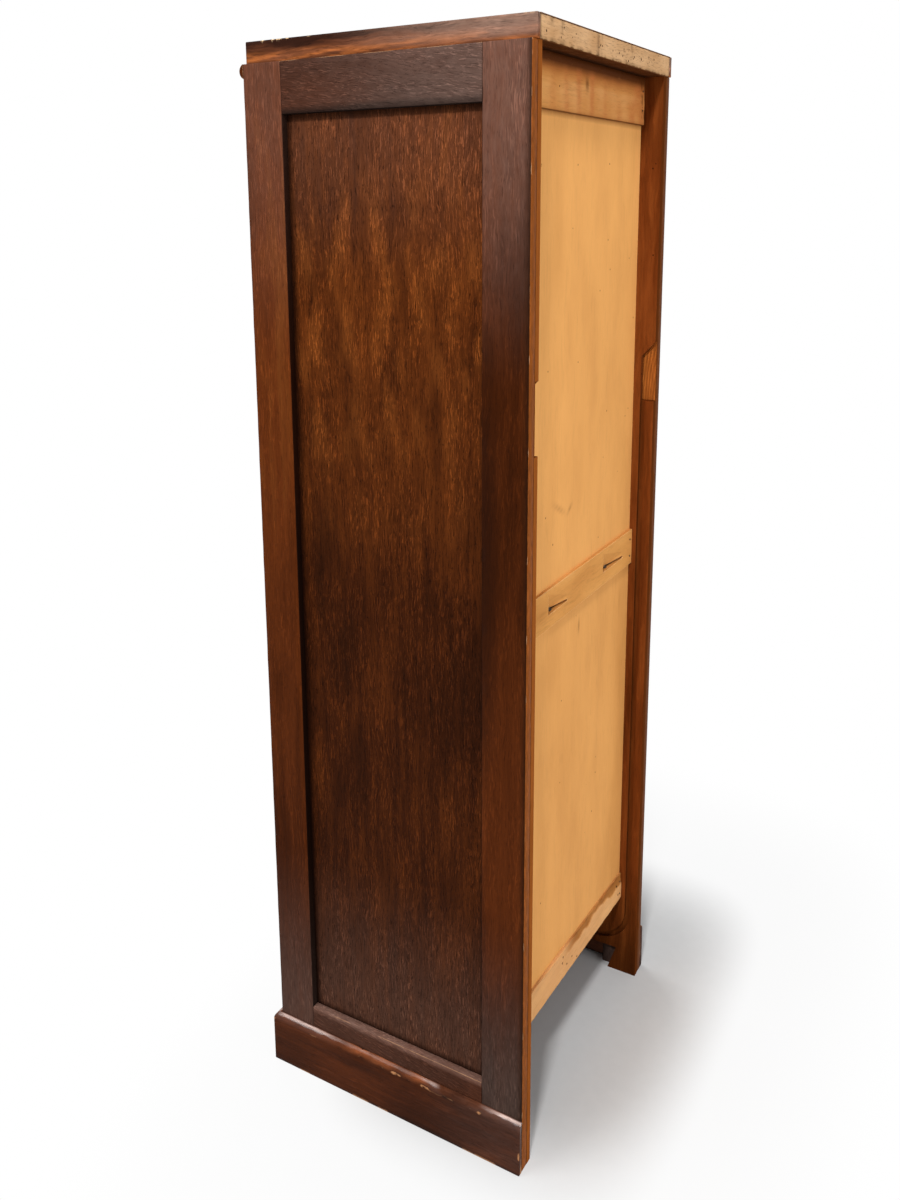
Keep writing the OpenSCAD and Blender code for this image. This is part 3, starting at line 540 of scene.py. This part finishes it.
def plinth_outline(t, h, step):
    """Up the outer face, round the top by (t * cos w, h - t + t * sin w), down the back, along
    the floor. Also gives how far each point is round the top edge."""
    rise = np.arange(0.0012, h - t, step)
    w = np.radians(np.linspace(0, 90, 12))
    outer = np.c_[np.full(len(rise), t), rise]
    top = np.c_[t * np.cos(w), h - t + t * np.sin(w)]
    back = np.c_[np.zeros(6), np.linspace(h - 0.004, 0.002, 6)]
    foot = np.array([[0.0004, 0], [t / 2, 0], [t - 0.0012, 0]])
    round_edge = np.concatenate([np.zeros(len(rise)), np.sin(w) * 0.9 + 0.1, np.zeros(len(back) + len(foot))])
    return np.vstack([outer, top, back, foot]), round_edge


def plinth(name, start, stop, out, mitres, finish, seed, dents):
    """One length of plinth: its outline carried along, less a hollow d * exp(-r^2 / s^2) at each
    dent and shallow waves along the rounded edge. That edge is glossy towards its ends, with a
    painted highlight along its crown there, and rubbed orange in the middle; a faint painted
    sheen lies over the rest. Its lip, the foot and the arrises at the ends are worn, and the
    bottom centimetre is darker."""
    outline, bend = plinth_outline(plinth_t, plinth_top, 0.004)
    points, normals, faces = carry(outline, start, stop, out, (0, 0, 1), 0.003, mitres, 0.0012)
    bend = np.broadcast_to(bend, points.shape[:2])
    y, z = points[..., 1], points[..., 2]
    run = y if out[0] else points[..., 0]
    depth = 0.0007 * bend * mottle(points, 0.025, seed) + 0.0001 * mottle(points, 0.2, seed)
    scuff = np.zeros_like(depth)
    for middle, reach, deep in dents:
        near = np.exp(-np.sum(((points - middle) / [reach * 0.8, reach, reach * 0.7]) ** 2, -1))
        depth += deep * near
        scuff = np.maximum(scuff, near)
    up = z - (plinth_top - plinth_t)
    lip = ease(up, -0.0045, -0.001) * ease(up, 0.003, 0.0005)
    patchy = ease(mottle(points * [1, 0.7, 1], 0.022, seed + 2), 0.5, 0.8)
    torn = ease(scuff * (0.4 + mottle(points, 0.006, seed + 7)), 0.35, 0.6)
    corner = ease(y, front_edge - plinth_t + 0.004, front_edge - plinth_t) * abs(out[0])
    tail = ease(y, rear_edge - 0.0025, rear_edge - 0.001) * (y < rear_edge - 0.0001)
    worn = lip * (patchy + torn) * 0.55 + ease(z, 0.006, 0.002) * patchy
    worn = worn + (corner + tail) * (0.3 + patchy * 0.5)
    middle = ease(run, -0.12, -0.07) * ease(run, 0.08, 0.04)
    glow = bend * (0.35 + 0.45 * middle) * mottle(points, 0.05, seed + 3)
    shiny = bend * (1 - 0.8 * middle) * ease(mottle(points * [1, 0.6, 1], 0.04, seed + 4), 0.15, 0.45)
    tone = 0.14 * (mottle(points * [1, 0.4, 1], 0.07, seed + 5) - 0.5) + bend * 0.15 * middle
    tone = tone - ease(scuff, 0.4, 0.8) * 0.25 * lip
    # A painted highlight along the crown of the rounding towards the ends, and a faint painted sheen all
    # over, stronger towards one end of the run.
    dust_and_sheen = shiny * ease(bend, 0.8, 0.9) * ease(bend, 1.0, 0.96) + 0.01 + 0.03 * ease(run, 0.03, 0.17)
    marks = {"tone": tone, "glow": glow, "dust_and_sheen": dust_and_sheen, "gloss": shiny, "worn": worn,
             "dirt_and_shade": ease(z, 0.01, 0) * 0.35}
    marks = {key: closed(value[..., None])[:, 0] for key, value in marks.items()}
    points = closed(points - depth[..., None] * normals)
    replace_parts(skin(name + "_oak", points, faces, finish, "plinth_oak", **marks), name)


# Knocks on the right edge: the place along it, the drop below its shoulder, the reach, the depth.
shoulder = plinth_top - plinth_t * 0.45
knocks = [(-0.102, 0.001, 0.004, 0.001), (-0.079, 0.002, 0.005, 0.001), (-0.045, 0.001, 0.009, 0.0024),
          (-0.034, 0.0, 0.005, 0.0012), (-0.012, 0.003, 0.006, 0.0012), (0.007, 0.003, 0.006, 0.0022),
          (0.015, 0.004, 0.004, 0.0016), (0.028, 0.004, 0.004, 0.001), (0.048, 0.001, 0.008, 0.0024),
          (0.057, 0.003, 0.004, 0.0012), (0.083, 0.003, 0.007, 0.0014), (0.092, 0.004, 0.004, 0.0008),
          (0.118, 0.002, 0.004, 0.0012), (0.131, 0.002, 0.005, 0.0016), (0.156, 0.001, 0.004, 0.001)]
dents = [((side_face + plinth_t * 0.8, y, shoulder - drop), reach, deep) for y, drop, reach, deep in knocks]
plinth("plinth_right", (side_face, front_edge, 0), (side_face, rear_edge, 0), (1, 0, 0), (-1, 0),
       plinth_side_oak, 50, dents)
plinth("plinth_left", (-side_face, front_edge, 0), (-side_face, rear_edge, 0), (-1, 0, 0), (-1, 0),
       plinth_side_oak, 55, [])
plinth("plinth_front", (-side_face, front_edge, 0), (side_face, front_edge, 0), (0, -1, 0), (-1, 1),
       plinth_front_oak, 60, [])
dress(["plinth_blocks"], left_lining_pine)


# The rails over and under the shutter opening, of the same stained oak as the sides, housed and
# glued between the linings.
front_oak = timber("stained_oak_level", 0, oak_tones, **oak_tints, level=0.5, arris=0.001)
dress(["front_top_rail", "front_bottom_rail"], front_oak)


# The bottom and middle boards, plain stained softwood, and the thin plywood shelves on their
# bearers, each with a scoop for a finger in its front edge.
board_pine = timber("stained_pine_level", 0, pine_tones, **pine_tints, level=0.62, figure=(0.015, 0.8),
                    arris=0.001, rough=(0.55, 0.75))
bearer_pine = timber("stained_pine_bearers", 1, pine_tones, **pine_tints, level=0.66, figure=(0.012, 0.8),
                     arris=0.001, rough=(0.55, 0.75))
dress(["bottom_board", "middle_board"], board_pine)
dress(["right_bearers", "left_bearers"], bearer_pine)
ply_tones = [(188, 128, 66), (212, 150, 84), (232, 168, 97), (242, 180, 110), (248, 194, 130)]
ply_tints = {"worn": (246, 208, 152), "dirt_and_shade": (112, 64, 26), "glow": (236, 176, 104), "dust_and_sheen": (222, 184, 140)}
ply_look = {"figure": (0.03, 0.1), "lines": (0.002, 0.05), "flecks": (0.004, -0.05), "pores": 0.04,
            "clouds": (0.05, 0.11), "rough": (0.5, 0.65), "relief": 0.12}
shelf_ply = timber("honey_ply_level", 0, ply_tones, **ply_tints, **ply_look, arris=0.0008)
dress([f"{level}_shelf_{n}" for level in ("upper", "lower") for n in range(1, 5)], shelf_ply)


# The back: two thin honey-coloured plywood panels let into three bare softwood rails, set deep
# between the linings to leave room for the shutter. The plywood is darkened at the rails by a
# gap line and painted shade.
honey_ply = timber("honey_ply_upright", 2, ply_tones, **ply_tints, **ply_look, specks=0.05)
mid_rail_low, mid_rail_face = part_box("back_mid_rail")[0].z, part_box("back_mid_rail")[1].y
top_rail_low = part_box("back_top_rail")[0].z


def ply_marks(points, rub):
    """Painted shade under the mid rail and a dark line under the top rail, which is its gap and
    painted shade, with four faint smears, each exp(-(along / wide)^2 - (off / tall)^2), where off
    is the height over a line through its middle that leans."""
    x, z = points[..., 0], points[..., 2]
    # line: the gap under the top rail, darkened as painted shade; below: painted shade under the mid rail.
    line = ease(top_rail_low - z, 0.0045, 0.001) * (z > 1.0)
    below = ease(mid_rail_low - z, 0.03, 0.0) * (z < 0.7)
    dirt_and_shade = below * 0.1 + line * 0.85
    for x0, z0, lean, wide, tall, share in [(0.06, 0.797, 0.5, 0.016, 0.003, 0.35),
                                            (0.028, 0.79, -0.6, 0.006, 0.003, 0.455),
                                            (-0.007, 0.625, 0, 0.002, 0.009, 0.7),
                                            (-0.153, 0.61, 0, 0.002, 0.02, 0.35)]:
        along, off = x - x0, z - z0 - (x - x0) * lean
        dirt_and_shade = dirt_and_shade + share * np.exp(-(along / wide) ** 2 - (off / tall) ** 2)
    tone = 0.1 * (mottle(points * [1, 1, 0.3], 0.16, 33) - 0.5) - 0.07 * ease(z, 0.7, 0.6)
    tone = tone - 0.1 * ease(x, -0.12, -0.18) * (z < 0.7)
    return 0.0, {"tone": tone, "dirt_and_shade": np.clip(dirt_and_shade, 0, 1)}


for seed, part in enumerate(("upper", "lower")):
    board(f"back_{part}_panel_ply", f"back_{part}_panel", "z", honey_ply, "honey_ply", 45 + seed,
          work=ply_marks, arris=0.0005, step=0.004, section_step=0.004)

rail_tones = [(122, 72, 32), (158, 98, 46), (190, 128, 66), (212, 150, 82), (232, 176, 110)]
rail_tints = {"worn": (250, 206, 146), "dirt_and_shade": (76, 38, 14), "glow": (188, 108, 58), "dust_and_sheen": (226, 178, 132)}
rail_look = {"figure": (0.03, 0.45), "lines": (0.002, 0.14), "flecks": (0.003, -0.1), "pores": 0.1,
             "clouds": (0.06, 0.14), "rough": (0.55, 0.7), "relief": 0.2}
bare_rail = timber("bare_softwood_level", 0, rail_tones, **rail_tints, **rail_look, level=0.66, specks=0.05)
# Its pale arrises are rubbed wear that also stands as the painted highlight on its lit upper edge; its
# pockets are darkened by depth as painted shade.
mid_rail_wood = timber("bare_softwood_gouged", 0, rail_tones, **rail_tints, **rail_look, level=0.74,
                       arris=0.0012, hollow=(1, mid_rail_face - 0.0045, mid_rail_face - 0.008, 0.85))
dress(["back_mid_rail"], mid_rail_wood)


def top_rail_marks(points, rub):
    """Painted shadow of the top over the upper part, painted shade along the lower edge, and a dark knot and
    specks at the far end.
    """
    x, drop = points[..., 0], case_top - points[..., 2]
    knot = np.exp(-((x - 0.008) / 0.004) ** 2 - ((drop - 0.025) / 0.007) ** 2)
    far = ease(x, -0.165, -0.18) * ease(mottle(points, 0.012, 3), 0.55, 0.7)
    # The upper part is darkened as the painted shadow of the top, the lower edge as painted shade.
    tone = 0.16 + 0.05 * ease(x, 0.1, 0.17) - 0.7 * ease(drop, 0.03, 0.009)
    tone = tone + 0.12 * (mottle(points * [1, 1, 0.3], 0.05, 35) - 0.5)
    foot = ease(points[..., 2], top_rail_low + 0.0015, top_rail_low)
    dirt_and_shade = knot * 0.8 + far * 0.8 + ease(drop, 0.017, 0.007) + foot * 0.8
    stripes = 0.15 + 0.4 * ease(mottle(points * [1, 1, 0.2], 0.03, 34), 0.4, 0.8)
    glow = 0.2 + stripes * ease(x, 0.15, 0.05)
    return 0.0004 * rub, {"tone": tone, "glow": glow, "dirt_and_shade": np.clip(dirt_and_shade, 0, 1)}


board("back_top_rail_softwood", "back_top_rail", "x", bare_rail, "pale_softwood", 47,
      work=top_rail_marks, step=0.004, section_step=0.004)

rail_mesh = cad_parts["back_bottom_rail"].data
corners = np.empty(3 * len(rail_mesh.vertices), np.float32)
rail_mesh.vertices.foreach_get("co", corners)
corners = corners.reshape(-1, 3).astype(float)
rail_ends = [corners[np.abs(corners[:, 0] - x) < 1e-4] for x in (corners[:, 0].min(), corners[:, 0].max())]
rail_line = [(end.min(0) + end.max(0)) / 2 for end in rail_ends]
rail_thick, rail_tall = np.ptp(rail_ends[0][:, 1]), np.ptp(rail_ends[0][:, 2])


def bottom_rail_marks(points, rub):
    """A waney upper edge on the far half, where the bark side shows, and a gnawed lower arris, with a painted
    sheen and some dust over the rest of the face.
    """
    x, y = points[..., 0], points[..., 1]
    up = points[..., 2] - np.interp(x, [rail_line[0][0], rail_line[1][0]], [rail_line[0][2], rail_line[1][2]])
    outer = ease(y, rail_line[0][1], rail_line[0][1] + rail_thick / 2)
    far = ease(x, 0.04, -0.02)
    edge = 0.014 + 0.012 * (mottle(points * [1, 1, 0], 0.045, 36) - 0.5)
    wane = far * ease(up, rail_tall / 2 - edge, rail_tall / 2 - edge + 0.0025) * outer
    gnawed = ease(up, -rail_tall / 2 + 0.004, -rail_tall / 2) * ease(mottle(points, 0.014, 37), 0.45, 0.7)
    tone = 0.1 + 0.06 * ease(x, -0.02, 0.1) - wane * 0.3
    tone = tone + 0.2 * (mottle(points * [0.5, 1, 1], 0.04, 38) - 0.5)
    depth = (0.0006 + 0.0016 * mottle(points, 0.02, 39)) * wane + 0.0024 * gnawed * rub
    # A painted sheen, with some dust, everywhere but on the wane.
    return depth, {"tone": tone, "dust_and_sheen": 0.45 * (1 - wane), "dirt_and_shade": wane * 0.12 + gnawed * 0.2}


rail_outline, rail_rub = squared(rail_thick, rail_tall, 0.0012, 0.002)
planed("back_bottom_rail_softwood", "back_bottom_rail", rail_outline, rail_rub, rail_line, (0, 1, 0),
       (0, 0, 1), bare_rail, "pale_softwood", 48, bottom_rail_marks, step=0.004, arris=0.0012)


# Old nail holes and worm holes, dark pits with a torn rim: in the bottom rail, and in the bare
# rear end of the top.
pit_tones = [(24, 12, 6), (40, 20, 10), (60, 32, 16)]
pit_wood = timber("dark_pit_wood", 0, pit_tones, **rail_tints, rough=(0.7, 0.9))


def pits(name, middles, radii, slot):
    """A row of shallow domes: round each middle a ring at radius r and a crown 0.1 r out of it."""
    sides = 10
    spin, after = np.arange(sides), np.roll(np.arange(sides), -1)
    w = np.radians(spin * 360 / sides)
    ring = np.stack([np.cos(w), np.zeros(sides), np.sin(w) * 1.15], -1)
    unit = np.vstack([ring, [0, 0.1, 0], [0, -0.1, 0]])
    points = (np.array(middles)[:, None] + unit[None] * np.array(radii)[:, None, None]).reshape(-1, 3)
    crown, root = np.full(sides, sides), np.full(sides, sides + 1)
    faces = np.vstack([np.c_[after, spin, crown], np.c_[spin, after, root]])
    faces = (faces[None] + len(unit) * np.arange(len(middles))[:, None, None]).reshape(-1, 3)
    skin(name, points, faces.tolist(), pit_wood, slot)


rail_face = rail_line[0][1] + rail_thick / 2
hole_x = np.array([0.033, 0.0197, 0.0028, -0.0145, 0.035, -0.165, -0.171])
hole_z = np.interp(hole_x, [rail_line[0][0], rail_line[1][0]], [rail_line[0][2], rail_line[1][2]])
hole_z += [0.012, -0.006, -0.005, -0.016, 0.004, 0.008, -0.009]
pits("bottom_rail_nail_holes", np.c_[hole_x, np.full_like(hole_x, rail_face), hole_z],
     [0.0013] * 5 + [0.0016] * 2, "pale_softwood")


# The top: a softwood core left bare at the rear, lipped with oak on the other edges and
# veneered above, with a rounded moulding under its front edge.
core_tones = [(128, 88, 56), (160, 116, 78), (190, 146, 102), (210, 168, 124), (228, 190, 148)]
# The dark orange-brown glow colour is only laid on the underside, as part of its painted shade.
top_core = timber("bare_top_core", 0, core_tones, worn=(236, 200, 156), dirt_and_shade=(56, 30, 14),
                  glow=(96, 48, 12), dust_and_sheen=(224, 196, 166), level=0.74, figure=(0.02, 0.5),
                  lines=(0.002, 0.25), flecks=(0.003, -0.15), pores=0.3, clouds=(0.03, 0.2), specks=0.25,
                  rough=(0.6, 0.8), relief=0.5)
(core_left, _, core_foot), (core_right, core_rear, core_top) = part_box("top_board")
lip_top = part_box("right_lipping")[1].z


def rough_end(points, rub):
    """The sawn rear end: a gnawed lower arris, dark at the lippings, and the underside darker and browner as
    painted shade.
    """
    x, y, up = points[..., 0], points[..., 1], points[..., 2] - core_foot
    rear = ease(y, core_rear - 0.0015, core_rear - 0.0003)
    gnawed = ease(up, 0.004, 0) * ease(mottle(points, 0.014, 41), 0.45, 0.7)
    joint = ease(np.minimum(x - core_left, core_right - x), 0.003, 0.0)
    # under: the underside, darkened and browned as painted shade, strongest next to the back top rail.
    under = ease(up, 0.001, 0.0002) * (1 - rear)
    smudge = nicks(x, [0.166, 0.139, 0.043, 0.03, -0.06], 0.0035) * ease(mottle(points, 0.02, 42), 0.3, 0.6)
    dirt_and_shade = joint * 0.7 + gnawed * 0.2 + smudge * 0.45 * rear + under * (0.4 + 0.6 * ease(y, 0.171, 0.164))
    tone = 0.2 * (mottle(points, 0.04, 43) - 0.5) - under * 0.6
    depth = 0.0022 * gnawed * rub + 0.0004 * mottle(points, 0.012, 44) * rear
    return depth, {"tone": tone, "dirt_and_shade": np.clip(dirt_and_shade, 0, 1), "glow": under * 0.9}


board("top_board_softwood", "top_board", "x", top_core, "top_core", 46, work=rough_end, step=0.0035,
      section_step=0.0035)
draw = np.random.default_rng(8)
worms = 34
worm_x = draw.uniform(core_left + 0.01, core_right - 0.01, worms)
worm_z = draw.uniform(core_foot + 0.003, core_top - 0.004, worms)
pits("top_end_worm_holes", np.c_[worm_x, np.full(worms, core_rear - 0.0003), worm_z],
     draw.uniform(0.0005, 0.0014, worms), "top_core")

lipping_tones = [(44, 22, 13), (84, 46, 28), (124, 72, 44), (160, 96, 56), (196, 134, 84)]
lipping_tints = {"worn": (232, 200, 156), "dirt_and_shade": (26, 14, 11), "glow": (176, 100, 48),
                 "dust_and_sheen": (176, 142, 124)}
lipping_look = {"figure": (0.006, 0.8), "clouds": (0.06, 0.2)}
lipping_oak = timber("streaked_lipping_oak_side", 1, lipping_tones, **lipping_tints, **lipping_look)
level_lipping_oak = timber("streaked_lipping_oak_front", 0, lipping_tones, **lipping_tints, **lipping_look)
veneer_oak = timber("top_veneer_oak", 0, oak_tones, **oak_tints, level=0.55, figure=(0.05, 0.8), arris=0.0008)
dress(["top_veneer"], veneer_oak)
dress(["front_moulding"], front_oak)


def lipping_wear(points, rub):
    """Orange streaks low down, a painted grey sheen to the rear, pale chips on the top arris near the front.
    """
    y, up = points[..., 1], points[..., 2] - case_top
    top = ease(up, lip_top - case_top - 0.002, lip_top - case_top - 0.0005)
    chips = nicks(y, [-0.155, -0.1407, -0.1335, -0.1308, -0.12, -0.09, 0.1744, 0.1815], 0.0022)
    worn = top * (1.6 * chips + 0.35 * ease(mottle(points, 0.02, 51), 0.5, 0.75))
    worn = rub * (worn + ease(up, 0.0015, 0.0003) * 0.45)
    worn = worn + chips * ease(up, 0.016, 0.022) * ease(y, -0.1, -0.12) * 0.5
    tone = 0.02 - 0.3 * ease(up, 0.011, 0.021) + 0.2 * (mottle(points * [0.3, 0.3, 1], 0.03, 52) - 0.5)
    # Painted sheen, greyer to the rear.
    dust_and_sheen = ease(y, -0.08, 0.17) * 0.46 * ease(up, 0, 0.01)
    glow = 0.6 * ease(up, 0.015, 0.007) * ease(mottle(points * [0.25, 0.25, 2], 0.02, 53), 0.4, 0.7)
    depth = rub * (0.0016 * chips * top + 0.0003 * mottle(points, 0.01, 54))
    return depth, {"tone": tone, "dust_and_sheen": dust_and_sheen, "glow": glow, "worn": worn}


for seed, part in enumerate(("right_lipping", "left_lipping")):
    board(part + "_oak", part, "y", lipping_oak, "top_oak", 70 + seed, work=lipping_wear,
          step=0.0015, section_step=0.002)
board("front_lipping_oak", "front_lipping", "x", level_lipping_oak, "top_oak", 72,
      work=lipping_wear, step=0.003, section_step=0.003)


# The shutter: 57 oak slats glued to canvas. It stands shut behind the front edges of the
# sides. As it opens it gathers at the foot, behind the rail, in place of going round the bends.
slat_oak = timber("slat_oak", 0, oak_tones, **oak_tints, level=0.58, figure=(0.02, 0.7))
canvas, weave, shader = finish_named("shutter_canvas_cloth")
spot = spots(weave)
links = {"Vector": spot, "Scale": 160.0, "Distortion": 0.6}
threads = [put(weave, "TexWave", links, bands_direction=way).outputs[1] for way in ("X", "Z")]
crossed = times(weave, *threads)
dust = put(weave, "TexNoise", {"Vector": spot, "Scale": 14.0, "Detail": 4.0}).outputs[0]
cloth = bands(weave, dust, [(122, 108, 82), (150, 136, 106), (180, 164, 132)])
cloth = lay(weave, cloth, stain(92, 80, 60), times(weave, crossed, 0.5))
weave.links.new(cloth, shader.inputs["Base Color"])
shader.inputs["Roughness"].default_value = 0.95
links = {"Height": crossed, "Strength": 0.5, "Distance": 0.0005}
weave.links.new(put(weave, "Bump", links).outputs[0], shader.inputs["Normal"])

slats_low, slats_high = (np.array(corner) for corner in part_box("shutter_slats"))
slat_count, slat_gap = 57, 0.0004
pitch = (slats_high[2] - slats_low[2] + slat_gap) / slat_count
slat_h, slat_t = pitch - slat_gap, slats_high[1] - slats_low[1]
# A slat's face is the arc (1 - cos w, sin w), w from -38 to 38 degrees, drawn to a rise of 3 mm
# and the height of the slat. Its back is flat. The slat is carried across, then set 57 times.
w = np.radians(np.linspace(-38, 38, 9))
bow = np.c_[1 - np.cos(w), np.sin(w)] / [1 - np.cos(w[0]), np.sin(w[-1])] * [0.003, slat_h / 2]
back = np.array([[slat_t / 2, slat_h / 2], [slat_t / 2, 0], [slat_t / 2, -slat_h / 2]])
slat_outline = np.vstack([bow - [slat_t / 2, 0], back])[::-1]
middle = ((slats_low[1] + slats_high[1]) / 2, slats_low[2] + slat_h / 2)
slat, _, faces = carry(slat_outline, (slats_low[0], *middle), (slats_high[0], *middle),
                       (0, 1, 0), (0, 0, 1), 0.06, rounding=0.0004)
slat = closed(slat)
rise = np.arange(slat_count)[:, None, None] * [0, 0, pitch]
points = (slat[None] + rise).reshape(-1, 3)
caps = 2 * len(slat_outline)
rows = np.arange(slat_count)[:, None, None] * len(slat)
sides, ends = (np.array(part) + rows for part in (faces[:-caps], faces[-caps:]))
faces = sides.reshape(-1, 4).tolist() + ends.reshape(-1, 3).tolist()
edge = ease(np.abs((points[:, 2] - slats_low[2]) % pitch - slat_h / 2), slat_h * 0.38, slat_h * 0.5)
shift = np.repeat(draw.uniform(-0.13, 0.13, slat_count), len(slat))
curtain = skin("shutter_curtain_slats", points, faces, slat_oak, "slat_oak", tone=shift - edge * 0.1,
               worn=edge * 0.3 * mottle(points, 0.1, 70))
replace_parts(curtain, "shutter_slats")
backing = board("shutter_curtain_canvas", "shutter_canvas", "z", canvas, "canvas", 73,
                arris=0.0002, step=0.02, section_step=0.02)
for piece in (curtain, backing):
    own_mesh(piece)


# The lead rail, the stout oak bar at the head of the shutter, with its lock and finger pulls
# of aged brass, and the steel screws, bolt and nails.
dress(["lead_rail"], front_oak)


def metal(name, clean, tarnish, share, rough):
    """Metal: a clean colour under clouds of tarnish, rougher where it is tarnished, finely pitted."""
    finish, tree, shader = finish_named(name)
    spot = spots(tree)
    links = {"Vector": spot, "Scale": 90.0, "Detail": 5.0, "Roughness": 0.7}
    dull = fade(tree, put(tree, "TexNoise", links).outputs[0], 0.62 - share * 0.3, 0.85 - share * 0.2)
    colour = lay(tree, stain(*clean), stain(*tarnish), times(tree, dull, 0.8))
    tree.links.new(colour, shader.inputs["Base Color"])
    links = {"Value": dull, "To Min": rough[0], "To Max": rough[1]}
    tree.links.new(put(tree, "MapRange", links).outputs[0], shader.inputs["Roughness"])
    shader.inputs["Metallic"].default_value = 1.0
    grit = put(tree, "TexNoise", {"Vector": spot, "Scale": 900.0, "Detail": 2.0}).outputs[0]
    eased = put(tree, "Bevel", {"Radius": 0.0005}, samples=4).outputs[0]
    links = {"Height": grit, "Strength": 0.2, "Distance": 0.0003, "Normal": eased}
    tree.links.new(put(tree, "Bump", links).outputs[0], shader.inputs["Normal"])
    return finish


brass = metal("aged_brass", (176, 138, 76), (110, 80, 44), 0.5, (0.32, 0.6))
steel = metal("dull_steel", (150, 148, 144), (84, 72, 62), 0.5, (0.35, 0.65))
rusty = metal("rusty_steel", (96, 80, 66), (44, 30, 22), 0.7, (0.6, 0.8))
dress(["finger_pulls", "lock_case", "lock_cylinder", "escutcheon", "strike_plate"], brass)
dress(["pull_screws", "lock_screws", "lock_bolt", "strike_screws"], steel)
dress(["nails", "pocket_screws"], rusty)


# The room: a pale floor that keeps the shadow near the cabinet, a white surround, four soft
# lamps, and the camera where the photographer stood.
def white_rays(tree):
    """1 for what the camera sees, directly, in a mirror or through glass."""
    path = put(tree, "LightPath", {})
    seen = more(tree, path.outputs["Is Camera Ray"], path.outputs["Is Glossy Ray"], 1.0)
    return more(tree, seen, path.outputs["Is Transmission Ray"], 1.0)


paint, tree, shader = finish_named("floor_paint")
spot = spots(tree)
grain = put(tree, "TexNoise", {"Vector": spot, "Scale": 60.0}).outputs[0]
tree.links.new(lay(tree, (0.6, 0.6, 0.6, 1), (0.64, 0.64, 0.64, 1), grain), shader.inputs["Base Color"])
shader.inputs["Roughness"].default_value = 0.95
shader.inputs["Specular IOR Level"].default_value = 0.0
# The paint gives way to plain white by sqrt(x^4 + y^4) from a point near the cabinet's middle.
spot = put(tree, "Mapping", {"Vector": spot, "Location": (0.32, -0.5, 0), "Scale": (3.2, 5.0, 1)}).outputs[0]
spot = put(tree, "VectorMath", {0: spot, 1: spot}, operation="MULTIPLY").outputs[0]
away = put(tree, "VectorMath", {0: spot}, operation="LENGTH").outputs["Value"]
white = put(tree, "Emission", {"Color": (1, 1, 1, 1), "Strength": 1.0}).outputs[0]
share = more(tree, times(tree, fade(tree, away, 0.36, 1.6), 0.9), fade(tree, away, 1.4, 5.8), 0.1)
share = times(tree, share, white_rays(tree))
mixed = put(tree, "MixShader", {0: share, 1: shader.outputs[0], 2: white}).outputs[0]
tree.links.new(mixed, tree.nodes["Material Output"].inputs["Surface"])
reach = 40.0
floor_mesh = bpy.data.meshes.new("floor")
floor_mesh.from_pydata([(-reach, -reach, 0), (reach, -reach, 0), (reach, reach, 0), (-reach, reach, 0)], [],
                       [(0, 1, 2, 3)])
floor_mesh.materials.append(paint)
floor = bpy.data.objects.new("floor", floor_mesh)
bpy.context.scene.collection.objects.link(floor)

ambient = 0.3
world = bpy.data.worlds.new("surround")
bpy.context.scene.world = world
world.use_nodes = True
sky = world.node_tree
links = {"Value": white_rays(sky), "To Min": ambient, "To Max": 1.0}
sky.links.new(put(sky, "MapRange", links).outputs[0], sky.nodes["Background"].inputs["Strength"])
sky.nodes["Background"].inputs["Color"].default_value = (1, 1, 1, 1)


def lamp(name, way, distance, size, strength):
    """A square soft lamp aimed at the middle of the cabinet. Strength is the share of a white
    card's brightness that it gives there: power = strength * pi^2 * distance^2."""
    light = bpy.data.lights.new(name, "AREA")
    light.shape = "SQUARE"
    light.size = size
    light.energy = strength * math.pi ** 2 * distance ** 2
    hung = bpy.data.objects.new(name, light)
    way = Vector(way).normalized()
    hung.location = Vector((0, 0, 0.67)) + way * distance
    hung.rotation_euler = way.to_track_quat("Z", "Y").to_euler()
    bpy.context.scene.collection.objects.link(hung)


lamp("window_lamp", (0.62, -0.45, 0.65), 3.2, 1.6, 0.44)
lamp("ceiling_lamp", (0.667, 0.227, 0.71), 3.66, 0.3, 0.64)
lamp("rear_lamp", (0.2, 0.95, 0.16), 3.0, 1.8, 0.48)
lamp("front_lamp", (-0.5, -0.85, 0.4), 3.4, 2.2, 0.4)

camera = bpy.data.objects.new("camera", bpy.data.cameras.new("camera"))
camera.location = (1.20444, 0.66036, 1.15455)
camera.rotation_euler = [math.radians(angle) for angle in (78.4666, 0.46894, 120.46621)]
camera.data.lens = 32.2154
camera.data.sensor_width = 36
camera.data.shift_x, camera.data.shift_y = 0.0129, -0.14583
camera.data.clip_start = 0.05
bpy.context.scene.collection.objects.link(camera)
bpy.context.scene.camera = camera
bpy.context.scene.view_settings.view_transform = "Standard"
